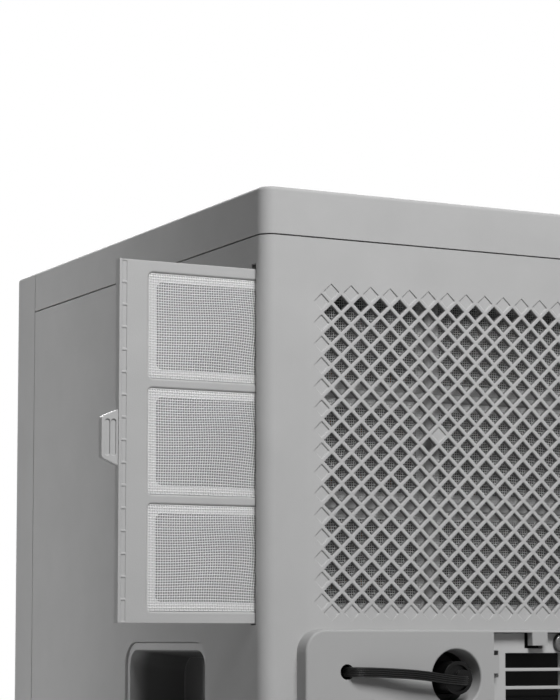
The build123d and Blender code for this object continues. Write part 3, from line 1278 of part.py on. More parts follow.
def pipe(points, name):
    """A round pipe swept along straight runs joined by arcs."""
    with BuildPart() as run:
        with BuildLine():
            FilletPolyline(*points, radius=PIPE_R)
        start, after = Vector(*points[0]), Vector(*points[1])
        with BuildSketch(Plane(origin=start, z_dir=after - start)):
            Circle(PIPE_D / 2)
        sweep()
    keep(run.part, name)


# Pipes: evaporator to accumulator, accumulator to compressor, compressor to condenser
pipe_low = DECK_Z - 2 * PIPE_D
bend_x = -COIL_HALF_SPAN
pipe(
    [
        (bend_x, EVAPORATOR_Y, tube_rows[0]),
        (PIPE_X, EVAPORATOR_Y, tube_rows[0]),
        (PIPE_X, EVAPORATOR_Y, pipe_low),
        (ACCUMULATOR_X, EVAPORATOR_Y, pipe_low),
        (ACCUMULATOR_X, ACCUMULATOR_Y, pipe_low),
        (ACCUMULATOR_X, ACCUMULATOR_Y, accumulator_z + ACCUMULATOR_H),
    ],
    "suction_pipe",
)
pipe(
    [
        (ACCUMULATOR_X, ACCUMULATOR_Y, accumulator_z),
        (ACCUMULATOR_X, ACCUMULATOR_Y, accumulator_z - 2 * PIPE_R - PIPE_D),
        (COMPRESSOR_X + COMPRESSOR_D / 2, ACCUMULATOR_Y, accumulator_z - 2 * PIPE_R - PIPE_D),
    ],
    "compressor_inlet_pipe",
)
pipe(
    [
        (COMPRESSOR_X, COMPRESSOR_Y, COMPRESSOR_Z + COMPRESSOR_H),
        (COMPRESSOR_X, COMPRESSOR_Y, pipe_low - 2 * PIPE_D),
        (COMPRESSOR_X, EVAPORATOR_Y + 2 * PIPE_D, pipe_low - 2 * PIPE_D),
        (PIPE_X, EVAPORATOR_Y + 2 * PIPE_D, pipe_low - 2 * PIPE_D),
        (PIPE_X, EVAPORATOR_Y + 2 * PIPE_D, tube_rows[-1]),
        (PIPE_X, CONDENSER_Y, tube_rows[-1]),
        (bend_x, CONDENSER_Y, tube_rows[-1]),
    ],
    "discharge_pipe",
)

# Cord gland in the service panel, bucket switch under the deck and humidity sensor
with BuildPart() as cord_gland:
    with BuildSketch(facing_front(Y_PLATFORM + GLAND_D / 2)):
        with Locations((GLAND_X, GLAND_Z)):
            Circle(GLAND_D / 2 - WALL)
    with BuildSketch(facing_front(Y_PLATFORM)):
        with Locations((GLAND_X, GLAND_Z)):
            Circle(GLAND_D / 2 + WALL)
    loft()
    with BuildSketch(facing_front(Y_PLATFORM)):
        with Locations((GLAND_X, GLAND_Z)):
            Circle(GLAND_D / 2)
    extrude(amount=2 * WALL)
    with BuildSketch(facing_front(Y_PLATFORM + GLAND_D / 2)):
        with Locations((GLAND_X, GLAND_Z)):
            Circle(GLAND_BORE / 2)
    extrude(amount=GLAND_D + 2 * WALL, mode=Mode.SUBTRACT)
keep(cord_gland.part, "cord_gland")

with BuildPart() as bucket_switch:
    with BuildSketch(Plane.XY.offset(DECK_Z - SWITCH_H)):
        with Locations((0, BUCKET_Y0 + BUCKET_D + SWITCH_W)):
            Rectangle(SWITCH_W, SWITCH_W / 2)
    extrude(amount=SWITCH_H)
keep(bucket_switch.part, "bucket_switch")

with BuildPart() as humidity_sensor:
    with BuildSketch(Plane.XY.offset(DECK_TOP)):
        with Locations((BLOWER_W / 2 + 2 * SENSOR_SIZE, BLOWER_Y0 - SENSOR_SIZE)):
            Rectangle(SENSOR_SIZE, SENSOR_SIZE / 2)
    extrude(amount=SENSOR_SIZE)
keep(humidity_sensor.part, "humidity_sensor")

os.makedirs("parts", exist_ok=True)
for piece_name, piece in pieces:
    export_step(piece, f"parts/{piece_name}.step")
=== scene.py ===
"""Dresses a portable dehumidifier: finishes, filter weave, cap strap, studio and camera."""

import logging
import math
from dataclasses import dataclass, field
from enum import Enum

import bpy
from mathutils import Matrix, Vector


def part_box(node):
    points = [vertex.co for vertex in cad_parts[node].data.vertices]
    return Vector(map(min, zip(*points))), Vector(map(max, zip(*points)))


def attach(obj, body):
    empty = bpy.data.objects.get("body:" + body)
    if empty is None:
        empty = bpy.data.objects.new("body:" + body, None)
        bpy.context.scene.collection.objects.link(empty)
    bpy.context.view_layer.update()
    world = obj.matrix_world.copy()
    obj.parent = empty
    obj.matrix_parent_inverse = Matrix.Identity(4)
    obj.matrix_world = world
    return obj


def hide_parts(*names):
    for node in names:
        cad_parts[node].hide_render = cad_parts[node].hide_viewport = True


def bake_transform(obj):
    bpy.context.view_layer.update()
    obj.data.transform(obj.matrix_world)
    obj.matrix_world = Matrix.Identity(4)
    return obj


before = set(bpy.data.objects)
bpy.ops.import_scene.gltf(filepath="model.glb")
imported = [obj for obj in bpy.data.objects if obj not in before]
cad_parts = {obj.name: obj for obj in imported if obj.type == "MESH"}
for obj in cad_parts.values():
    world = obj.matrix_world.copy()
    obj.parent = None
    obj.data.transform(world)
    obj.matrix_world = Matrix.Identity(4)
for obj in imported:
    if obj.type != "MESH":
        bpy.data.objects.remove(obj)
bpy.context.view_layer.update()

log = logging.getLogger("dehumidifier")

Point = tuple[float, float, float]
Colour = tuple[float, float, float]
Line = list[tuple[float, float]]
Window = tuple[float, float, float, float]
Socket = bpy.types.NodeSocket

# Faces of the solid model that the finishes measure their zones from, in metres
MM = 0.001
WALL = 2.5 * MM
SKIN = 0.2 * MM
GRILLE_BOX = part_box("rear_grille")
REAR_FACE = GRILLE_BOX[1].y
SIDE_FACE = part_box("cabinet")[1].x
NET_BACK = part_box("filter_net")[0].y
VENT_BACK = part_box("vent_panel")[0].y
LATTICE_FRONT = 0.6 * MM
PLATE_BORDER = 3.0 * MM
POCKET_FADE = 10.0 * MM

# How bright each zone of painted shade and painted light is, as a share of its finish's colour
INSIDE_PAINTED_SHADE = 0.06
POCKET_PAINTED_SHADE = 0.28
LEDGE_PAINTED_LIGHT = 1.85
LATTICE_SIDE_PAINTED_SHADE = 0.5
SERVICE_PANEL_PAINTED_SHADE = 0.88
VENT_SEAT_PAINTED_SHADE = 0.05

# How the finishes break up a surface: sizes in millimetres, octaves of noise, and ranges
MOTTLE_MM = 28.0
MOTTLE_OCTAVES = 4.0
MOTTLE_RANGE = (0.3, 0.7)
GLOSS_MM = 9.0
GLOSS_OCTAVES = 3.0
GLOSS_SPREAD = 0.06
SMOOTHEST = 0.02
GRAIN_OCTAVES = 2.0
BRUSH_STRETCH = 0.03
TRACE_SCALE = 160.0
BEVEL_SAMPLES = 4
EDGE_TURN = (0.99, 0.8)
EDGE_SHARE = 0.6
FACING_RANGE = (0.3, 0.7)

# Where a mix node keeps its colour sockets
MIX_FACTOR = 0
MIX_BASE = 6
MIX_OVER = 7
MIX_RESULT = 2


class Surface(Enum):
    """How a finish breaks up its surface."""

    GRAINED = "grained"
    BRUSHED = "brushed"
    TRACED = "traced"
    CLEAR = "clear"


class Zone(Enum):
    """Which stretches of a moulding take painted shade, and which take painted light."""

    PLAIN = "plain"
    CABINET = "cabinet"
    POCKET = "pocket"
    LEDGE = "ledge"
    LATTICE = "lattice"


@dataclass
class Shading:
    """A node tree under construction."""

    tree: bpy.types.NodeTree

    def add(self, kind: str) -> bpy.types.Node:
        """Adds a node of one of Blender's kinds."""
        return self.tree.nodes.new(kind)

    def join(self, source: Socket, target: Socket) -> None:
        """Links a node's output to another node's input."""
        self.tree.links.new(source, target)

    def split(self, vector: Socket) -> bpy.types.Node:
        """Adds the node that separates a vector.

        Args:
            vector: The socket of the vector.

        Returns:
            The node, with outputs X, Y and Z.
        """
        parts = self.add("ShaderNodeSeparateXYZ")
        self.join(vector, parts.inputs["Vector"])
        return parts

    def work_out(self, operation: str, *values: Socket | float) -> Socket:
        """Adds a math node.

        Args:
            operation: Blender's name of the operation.
            values: What it works on: sockets to join, or numbers to set.

        Returns:
            The result's socket.
        """
        node = self.add("ShaderNodeMath")
        node.operation = operation
        for entry, value in zip(node.inputs, values):
            if isinstance(value, Socket):
                self.join(value, entry)
            else:
                entry.default_value = value
        return node.outputs["Value"]

    def step(self, value: Socket, low: float, high: float, start: float = 0.0) -> Socket:
        """Adds a smooth step that rises to 1.

        Args:
            value: The socket to step on.
            low: Where the step starts.
            high: Where the step ends.
            start: What the step rises from.

        Returns:
            The step's socket.
        """
        step = self.add("ShaderNodeMapRange")
        step.interpolation_type = "SMOOTHSTEP"
        step.inputs["From Min"].default_value = low
        step.inputs["From Max"].default_value = high
        step.inputs["To Min"].default_value = start
        self.join(value, step.inputs["Value"])
        return step.outputs["Result"]

    def cover(self, base: Socket, mask: Socket, colour: Colour) -> Socket:
        """Adds a colour over another one where a mask is 1.

        Args:
            base: The socket of the colour where the mask is 0.
            mask: The socket of the mask.
            colour: The colour where the mask is 1.

        Returns:
            The socket that holds the colour.
        """
        mix = self.add("ShaderNodeMix")
        mix.data_type = "RGBA"
        mix.inputs[MIX_OVER].default_value = (*colour, 1.0)
        self.join(mask, mix.inputs[MIX_FACTOR])
        self.join(base, mix.inputs[MIX_BASE])
        return mix.outputs[MIX_RESULT]

    def seen_rays(self) -> Socket:
        """Adds a mask of the rays that show a surface to the eye, straight or by metal and glass.

        Returns:
            The mask's socket.
        """
        path = self.add("ShaderNodeLightPath")
        seen = path.outputs["Is Camera Ray"]
        for ray in ("Is Glossy Ray", "Is Transmission Ray"):
            seen = self.work_out("MAXIMUM", seen, path.outputs[ray])
        return seen


@dataclass(frozen=True)
class Finish:
    """A surface finish that becomes one node material."""

    name: str
    colour: Colour
    roughness: float
    metallic: float = 0.0
    surface: Surface = Surface.GRAINED
    grain_mm: float = 0.5
    grain_depth: float = 0.08
    mottling: float = 0.03
    edge_mm: float = 0.5
    edge_wear_and_highlight: float = 0.12
    transmission: float = 0.0
    specular: float = 0.5
    zone: Zone = Zone.PLAIN

    def material(self) -> bpy.types.Material:
        """Makes the material, or returns the one made before.

        Returns:
            The node material of this finish.
        """
        found = bpy.data.materials.get(self.name)
        if found is not None:
            return found
        material = bpy.data.materials.new(self.name)
        material.use_nodes = True
        shading = Shading(material.node_tree)
        shader = material.node_tree.nodes["Principled BSDF"]
        shader.inputs["Metallic"].default_value = self.metallic
        shader.inputs["Transmission Weight"].default_value = self.transmission
        shader.inputs["Specular IOR Level"].default_value = self.specular
        place = shading.add("ShaderNodeTexCoord").outputs["Object"]
        shading.join(self._shade(shading, place), shader.inputs["Base Color"])
        shading.join(self._gloss(shading, place), shader.inputs["Roughness"])
        shading.join(self._relief(shading, place), shader.inputs["Normal"])
        return material

    def _times(self, share: float) -> Colour:
        """Gives the finish's colour at a share of its brightness, up to white."""
        return tuple(min(c * share, 1.0) for c in self.colour)

    def _noise(self, shading: Shading, place: Socket, size_mm: float, octaves: float) -> Socket:
        """Adds a noise of one feature size, drawn out where the surface is brushed.

        Args:
            shading: The material's node tree.
            place: The socket of object coordinates.
            size_mm: Feature size in millimetres.
            octaves: How much finer noise it has.

        Returns:
            The noise's factor socket.
        """
        mapping = shading.add("ShaderNodeMapping")
        stretch = BRUSH_STRETCH if self.surface is Surface.BRUSHED else 1.0
        mapping.inputs["Scale"].default_value = (stretch, 1.0, 1.0)
        shading.join(place, mapping.inputs["Vector"])
        noise = shading.add("ShaderNodeTexNoise")
        noise.inputs["Scale"].default_value = 1.0 / (size_mm * MM)
        noise.inputs["Detail"].default_value = octaves
        shading.join(mapping.outputs["Vector"], noise.inputs["Vector"])
        return noise.outputs["Fac"]

    def _pattern(self, shading: Shading, place: Socket) -> Socket:
        """Adds what the colour varies by: slow mottling, or a board's traces.

        Args:
            shading: The material's node tree.
            place: The socket of object coordinates.

        Returns:
            The pattern's factor socket.
        """
        if self.surface is not Surface.TRACED:
            return self._noise(shading, place, MOTTLE_MM, MOTTLE_OCTAVES)
        traces = shading.add("ShaderNodeTexBrick")
        traces.inputs["Scale"].default_value = TRACE_SCALE
        shading.join(place, traces.inputs["Vector"])
        return traces.outputs["Fac"]

    def _shade(self, shading: Shading, place: Socket) -> Socket:
        """Adds the colour, with its pattern, its zones of painted shade and painted light, and its
        edges made lighter as rubbed wear and as a painted highlight.

        Args:
            shading: The material's node tree.
            place: The socket of object coordinates.

        Returns:
            The socket that holds the colour.
        """
        ramp = shading.add("ShaderNodeValToRGB")
        dark, light = ramp.color_ramp.elements
        dark.position, light.position = MOTTLE_RANGE
        dark.color = (*self._times(1.0 - self.mottling), 1.0)
        light.color = (*self._times(1.0 + self.mottling), 1.0)
        shading.join(self._pattern(shading, place), ramp.inputs["Fac"])
        shade = self._zoned(shading, place, ramp.outputs["Color"])
        if self.surface is Surface.CLEAR or not self.edge_mm:
            return shade
        # Edges made lighter: partly rubbed wear, partly a painted highlight along rounded edges.
        worn_and_highlit = tuple(min(c + self.edge_wear_and_highlight, 1.0) for c in self.colour)
        return shading.cover(shade, self._worn_and_highlit_edges(shading, place), worn_and_highlit)

    def _zoned(self, shading: Shading, place: Socket, outer: Socket) -> Socket:
        """Adds the painted shade and painted light of a moulding's zones.

        Args:
            shading: The material's node tree.
            place: The socket of object coordinates.
            outer: The socket of the colour outside the zones.

        Returns:
            The socket that holds the colour.
        """
        if self.zone is Zone.PLAIN:
            return outer
        parts = shading.split(place)
        depth = parts.outputs["Y"]
        reach = shading.work_out("ABSOLUTE", parts.outputs["X"])
        if self.zone is Zone.CABINET:
            return self._cabinet_painted_shade(shading, reach, depth, outer)
        if self.zone is Zone.POCKET:
            # Painted shade: the handle pocket grows darker the deeper it goes, where shade falls.
            deep = shading.step(reach, SIDE_FACE - WALL / 2, SIDE_FACE - POCKET_FADE)
            return shading.cover(outer, deep, self._times(POCKET_PAINTED_SHADE))
        # Painted light: the filter frame's ledge behind the net, where it faces the rear, made brighter
        # to offset the net's shadow.
        if self.zone is Zone.LEDGE:
            return shading.cover(outer, self._ledge(shading, depth, NET_BACK), self._times(LEDGE_PAINTED_LIGHT))
        # Painted shade: the sides of the lattice's holes made darker, where shade falls.
        front = REAR_FACE - LATTICE_FRONT
        sides = shading.step(depth, front, front - 2 * SKIN)
        return shading.cover(outer, sides, self._times(LATTICE_SIDE_PAINTED_SHADE))

    def _cabinet_painted_shade(self, shading: Shading, reach: Socket, depth: Socket, outer: Socket) -> Socket:
        """Adds the cabinet's painted shade: dark inside its walls, darker on its raised service panel,
        and near black on the vent panel's seat.

        Args:
            shading: The material's node tree.
            reach: The socket of the distance from the middle, sideways.
            depth: The socket of the place along the frame's Y.
            outer: The socket of the colour outside.

        Returns:
            The socket that holds the colour.
        """
        # Painted shade: nearly black inside the cabinet's walls, where little light reaches.
        inner_x, inner_y = SIDE_FACE - WALL + SKIN, REAR_FACE - WALL + SKIN
        inside_x = shading.step(reach, inner_x + SKIN, inner_x)
        inside_y = shading.step(depth, inner_y + SKIN, inner_y)
        inside_shade_mask = shading.work_out("MINIMUM", inside_x, inside_y)
        shaded_inside = shading.cover(outer, inside_shade_mask, self._times(INSIDE_PAINTED_SHADE))
        # Painted shade: the raised service panel made darker, where the light falls off lower down.
        proud = shading.step(depth, REAR_FACE + SKIN, REAR_FACE + 2 * SKIN)
        panel = shading.cover(shaded_inside, proud, self._times(SERVICE_PANEL_PAINTED_SHADE))
        # Painted shade: the vent panel's seat made near black, like a deep hole in shadow, where it
        # shows through the notches.
        seat = shading.work_out("MINIMUM", proud, self._ledge(shading, depth, VENT_BACK + SKIN))
        return shading.cover(panel, seat, self._times(VENT_SEAT_PAINTED_SHADE))

    def _ledge(self, shading: Shading, depth: Socket, level: float) -> Socket:
        """Adds a mask of the faces that look to the rear from a level or deeper.

        Args:
            shading: The material's node tree.
            depth: The socket of the place along the frame's Y.
            level: The level, along the frame's Y.

        Returns:
            The mask's socket.
        """
        facing = shading.split(shading.add("ShaderNodeNewGeometry").outputs["Normal"])
        rearward = shading.step(facing.outputs["Y"], *FACING_RANGE)
        deep = shading.step(depth, level + SKIN, level)
        return shading.work_out("MINIMUM", rearward, deep)

    def _rounded(self, shading: Shading, place: Socket) -> Socket:
        """Adds the normal of softly rounded edges; a flush plate keeps its outer edge sharp.

        Args:
            shading: The material's node tree.
            place: The socket of object coordinates.

        Returns:
            The normal socket.
        """
        rounded = shading.add("ShaderNodeBevel")
        rounded.samples = BEVEL_SAMPLES
        rounded.inputs["Radius"].default_value = self.edge_mm * MM
        if self.zone is Zone.LATTICE:
            radius = shading.work_out("MULTIPLY", self._away(shading, place), self.edge_mm * MM)
            shading.join(radius, rounded.inputs["Radius"])
        return rounded.outputs["Normal"]

    def _away(self, shading: Shading, place: Socket) -> Socket:
        """Adds a mask that is 1 away from the lattice plate's outer edge.

        Args:
            shading: The material's node tree.
            place: The socket of object coordinates.

        Returns:
            The mask's socket.
        """
        parts = shading.split(place)
        low, high = GRILLE_BOX
        masks = []
        for axis, near, far in (("X", low.x, high.x), ("Z", low.z, high.z)):
            offset = shading.work_out("SUBTRACT", parts.outputs[axis], (near + far) / 2)
            reach = shading.work_out("ABSOLUTE", offset)
            half = (far - near) / 2
            masks.append(shading.step(reach, half - PLATE_BORDER, half - 2 * PLATE_BORDER))
        return shading.work_out("MINIMUM", *masks)

    def _worn_and_highlit_edges(self, shading: Shading, place: Socket) -> Socket:
        """Adds a mask of the edges made lighter, as rubbed wear and as a painted highlight: where the
        rounded normal leaves the flat one.

        Args:
            shading: The material's node tree.
            place: The socket of object coordinates.

        Returns:
            The mask's socket.
        """
        flat = shading.add("ShaderNodeNewGeometry").outputs["Normal"]
        agreement = shading.add("ShaderNodeVectorMath")
        agreement.operation = "DOT_PRODUCT"
        shading.join(self._rounded(shading, place), agreement.inputs[0])
        shading.join(flat, agreement.inputs[1])
        mask = shading.add("ShaderNodeMapRange")
        mask.inputs["From Min"].default_value = EDGE_TURN[0]
        mask.inputs["From Max"].default_value = EDGE_TURN[1]
        mask.inputs["To Max"].default_value = EDGE_SHARE
        shading.join(agreement.outputs["Value"], mask.inputs["Value"])
        return mask.outputs["Result"]

    def _gloss(self, shading: Shading, place: Socket) -> Socket:
        """Adds the uneven roughness.

        Args:
            shading: The material's node tree.
            place: The socket of object coordinates.

        Returns:
            The roughness socket.
        """
        spread = shading.add("ShaderNodeMapRange")
        spread.inputs["To Min"].default_value = max(self.roughness - GLOSS_SPREAD, SMOOTHEST)
        spread.inputs["To Max"].default_value = min(self.roughness + GLOSS_SPREAD, 1.0)
        patches = self._noise(shading, place, GLOSS_MM, GLOSS_OCTAVES)
        shading.join(patches, spread.inputs["Value"])
        return spread.outputs["Result"]

    def _relief(self, shading: Shading, place: Socket) -> Socket:
        """Adds the fine grain as a bump over softened edges.

        Args:
            shading: The material's node tree.
            place: The socket of object coordinates.

        Returns:
            The normal socket.
        """
        bump = shading.add("ShaderNodeBump")
        bump.inputs["Strength"].default_value = self.grain_depth
        bump.inputs["Distance"].default_value = self.grain_mm * MM
        grain = self._noise(shading, place, self.grain_mm, GRAIN_OCTAVES)
        shading.join(grain, bump.inputs["Height"])
        if self.edge_mm:
            shading.join(self._rounded(shading, place), bump.inputs["Normal"])
        return bump.outputs["Normal"]


def grey(level: float) -> Colour:
    """Gives a neutral grey."""
    return (level, level, level)


SHELL_GREY = grey(0.43)
HOUSING = Finish("housing_grey", SHELL_GREY, 0.55, edge_mm=0.0, specular=0.14)
CABINET = Finish("grained_cabinet", SHELL_GREY, 0.55, edge_mm=0.0, specular=0.14, zone=Zone.CABINET)
LATTICE = Finish(
    "lattice_grey", SHELL_GREY, 0.5, edge_mm=0.8, edge_wear_and_highlight=0.2, specular=0.2, zone=Zone.LATTICE
)
TRIM = Finish("trim_grey", SHELL_GREY, 0.48, specular=0.35)
CUP = Finish("cup_grey", grey(0.40), 0.5, specular=0.3, zone=Zone.POCKET)
FILTER_PLASTIC = Finish("filter_frame_plastic", grey(0.40), 0.42, grain_mm=0.6, zone=Zone.LEDGE)
THREAD = Finish("net_thread", grey(0.84), 0.6, grain_mm=0.2, edge_mm=0.05)
BLACK_PLASTIC = Finish("black_moulding", grey(0.008), 0.5, edge_wear_and_highlight=0.01, specular=0.12)
SOFT_RUBBER = Finish("soft_rubber", grey(0.006), 0.45, edge_mm=0.25, edge_wear_and_highlight=0.01, specular=0.16)
CAP_RUBBER = Finish("cap_rubber", grey(0.004), 0.3, edge_mm=0.3, edge_wear_and_highlight=0.02, specular=0.15)
STRAP_RUBBER = Finish("strap_rubber", grey(0.004), 0.3, edge_mm=0.0, specular=0.32)
KEY_PRINT = Finish("key_print", (0.06, 0.06, 0.065), 0.6, edge_mm=0.05)
ZINC = Finish("zinc_steel", (0.62, 0.62, 0.63), 0.28, 1.0, Surface.BRUSHED, grain_depth=0.05)
SCREW = Finish("screw_steel", grey(0.13), 0.25, 1.0, grain_depth=0.05)
COPPER = Finish("copper_tube", (0.36, 0.20, 0.13), 0.32, 1.0, mottling=0.12)
FIN_STOCK = Finish("fin_stock", (0.22, 0.22, 0.225), 0.4, 1.0, Surface.BRUSHED)
ENAMEL = Finish("black_enamel", grey(0.01), 0.3, edge_wear_and_highlight=0.01, grain_depth=0.03, specular=0.2)
CLEAR_WINDOW = Finish(
    "clear_window", (0.82, 0.86, 0.87), 0.08, surface=Surface.CLEAR, transmission=0.85
)
SMOKED_LENS = Finish("smoked_lens", (0.015, 0.015, 0.018), 0.08, grain_depth=0.01)
KEYCAP = Finish("keycap_grey", grey(0.55), 0.42)
BOARD = Finish("circuit_board", (0.02, 0.13, 0.06), 0.4, surface=Surface.TRACED, mottling=0.4)
TANK = Finish("tank_grey", (0.33, 0.34, 0.35), 0.38)
TREAD = Finish("wheel_tread", grey(0.03), 0.6, grain_depth=0.2, edge_wear_and_highlight=0.04)
FLOOR_PAPER = Finish("floor_paper", grey(0.38), 0.8, mottling=0.01, edge_mm=0.0)


@dataclass
class MeshPiece:
    """A mesh under construction, as loose points and faces."""

    name: str
    points: list[Point] = field(default_factory=list)
    faces: list[tuple[int, ...]] = field(default_factory=list)

    def tube(self, rings: list[list[Point]]) -> None:
        """Adds a tube through rings of equally many points, closed at both ends.

        Args:
            rings: The rings, in order along the tube.
        """
        first, sides = len(self.points), len(rings[0])
        last = first + (len(rings) - 1) * sides
        for ring in rings:
            self.points.extend(ring)
        for row in range(len(rings) - 1):
            near, far = first + row * sides, first + (row + 1) * sides
            for k in range(sides):
                after = (k + 1) % sides
                self.faces.append((near + k, near + after, far + after, far + k))
        self.faces.append(tuple(range(first + sides - 1, first - 1, -1)))
        self.faces.append(tuple(range(last, last + sides)))

    def stroke(self, line: Line, width: float, low: float, high: float) -> None:
        """Adds a raised stroke along a flat line.

        Args:
            line: The points of the line, as (x, y).
            width: The stroke's width.
            low: The height of its underside.
            high: The height of its top.
        """
        rings = []
        for k, here in enumerate(line):
            before, after = Vector(line[max(k - 1, 0)]), Vector(line[min(k + 1, len(line) - 1)])
            side = (after - before).normalized().orthogonal() * width / 2
            left, right = Vector(here) + side, Vector(here) - side
            rings.append([(*left, low), (*left, high), (*right, high), (*right, low)])
        self.tube(rings)

    def build(self, finish: Finish) -> bpy.types.Object:
        """Turns the points and faces into a smooth object.

        Args:
            finish: The finish to dress it with.

        Returns:
            The new object, linked to the scene.
        """
        mesh = bpy.data.meshes.new(self.name)
        mesh.from_pydata(self.points, [], self.faces)
        mesh.validate()
        mesh.polygons.foreach_set("use_smooth", [True] * len(mesh.polygons))
        piece = bpy.data.objects.new(self.name, mesh)
        piece.data.materials.append(finish.material())
        bpy.context.scene.collection.objects.link(piece)
        return piece


def dress(finish: Finish, *names: str) -> None:
    """Gives CAD nodes a finish.

    Args:
        finish: The finish.
        names: The nodes' names.
    """
    for name in names:
        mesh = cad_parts[name].data
        mesh.materials.clear()
        mesh.materials.append(finish.material())
        log.info("dressed %s in %s", name, finish.name)


@dataclass
class Housing:
    """The cabinet, covers, grilles and handles."""

    shell: tuple[str, ...] = ("top_cover", "front_panel")
    trim: tuple[str, ...] = ("vent_panel", "outlet_grille")
    cups: tuple[str, ...] = ("handle_cup_left", "handle_cup_right")
    hidden: tuple[str, ...] = ("base_pan", "deck", "drip_tray", "filter_rails", "bucket_switch")

    def dress(self) -> None:
        """Gives the housing its finishes."""
        dress(CABINET, "cabinet")
        dress(HOUSING, *self.shell)
        dress(LATTICE, "rear_grille")
        dress(TRIM, *self.trim)
        dress(CUP, *self.cups)
        dress(BLACK_PLASTIC, *self.hidden)
        dress(SCREW, "vent_screws")
        dress(SOFT_RUBBER, "cord_gland")
        dress(KEYCAP, "humidity_sensor")


@dataclass
class AirFilter:
    """The drawn-out filter: a moulded frame with a woven net in each window."""

    rows: int = 3
    columns: int = 2
    end_margin: float = 12.7 * MM
    edge_margin: float = 4.5 * MM
    bar: float = 3.6 * MM
    pitch: float = 1.05 * MM
    thread_radius: float = 0.17 * MM
    net_inset: float = 0.3 * MM
    tab_reach: float = 7.0 * MM
    slack: float = 1.5 * MM
    # Radians that the slack turns through, along a window's width and along its height
    drift_across: tuple[float, float] = (3.0, 5.0)
    drift_up: tuple[float, float] = (9.0, 2.0)

    def windows(self) -> list[Window]:
        """Works out the net in each window.

        Returns:
            (low x, low z, width, height) of each net, in metres.
        """
        low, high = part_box("filter_frame")
        outer = high.x - self.tab_reach
        width = (outer - low.x - 2 * self.end_margin - (self.columns - 1) * self.bar) / self.columns
        height = (high.z - low.z - 2 * self.edge_margin - (self.rows - 1) * self.bar) / self.rows
        inset = self.net_inset
        return [
            (
                low.x + self.end_margin + column * (width + self.bar) + inset,
                low.z + self.edge_margin + row * (height + self.bar) + inset,
                width - 2 * inset,
                height - 2 * inset,
            )
            for column in range(self.columns)
            for row in range(self.rows)
        ]

    def knot(self, x: float, z: float, u: float, v: float) -> tuple[float, float]:
        """Shifts one crossing of the threads, as a slack net held at its edges drifts.

        Args:
            x: Where the crossing is in an even net, across.
            z: Where it is, upwards.
            u: The share of the window's width it is at.
            v: The share of the window's height it is at.

        Returns:
            Where the crossing is in the slack net.
        """
        drift = self.slack * math.sin(math.pi * u) * math.sin(math.pi * v)
        across = math.sin(self.drift_across[0] * u + self.drift_across[1] * v)
        up = math.sin(self.drift_up[0] * u + self.drift_up[1] * v)
        return x + drift * across, z + drift * up

    def weave(self, name: str, window: Window) -> bpy.types.Object:
        """Builds one window's net, each thread passing over and under the ones it crosses.

        Args:
            name: The net's name.
            window: (low x, low z, width, height) of the net.

        Returns:
            The net, riding on the filter.
        """
        net = MeshPiece(name)
        low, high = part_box("filter_net")
        middle, half = (low.y + high.y) / 2, self.thread_radius
        wave = (high.y - low.y) / 2 - half
        x0, z0, width, height = window
        across, up = round(width / self.pitch), round(height / self.pitch)
        xs = [x0 + half + (width - 2 * half) * i / across for i in range(across + 1)]
        zs = [z0 + half + (height - 2 * half) * j / up for j in range(up + 1)]
        knots = [
            [self.knot(x, z, i / across, j / up) for j, z in enumerate(zs)]
            for i, x in enumerate(xs)
        ]
        for i in range(across + 1):
            rings = []
            for j in range(up + 1):
                x, z = knots[i][j]
                y = middle + wave * (-1) ** (i + j)
                rings.append([(x + half, y, z), (x, y + half, z), (x - half, y, z), (x, y - half, z)])
            net.tube(rings)
        for j in range(up + 1):
            rings = []
            for i in range(across + 1):
                x, z = knots[i][j]
                y = middle - wave * (-1) ** (i + j)
                rings.append([(x, y, z + half), (x, y + half, z), (x, y, z - half), (x, y - half, z)])
            net.tube(rings)
        piece = net.build(THREAD)
        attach(piece, "filter")
        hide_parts("filter_net")
        return piece

    def dress(self) -> None:
        """Builds the nets and gives the frame its finish."""
        dress(FILTER_PLASTIC, "filter_frame")
        for n, window in enumerate(self.windows(), start=1):
            log.info("built %s", self.weave(f"filter_weave_{n}", window).name)


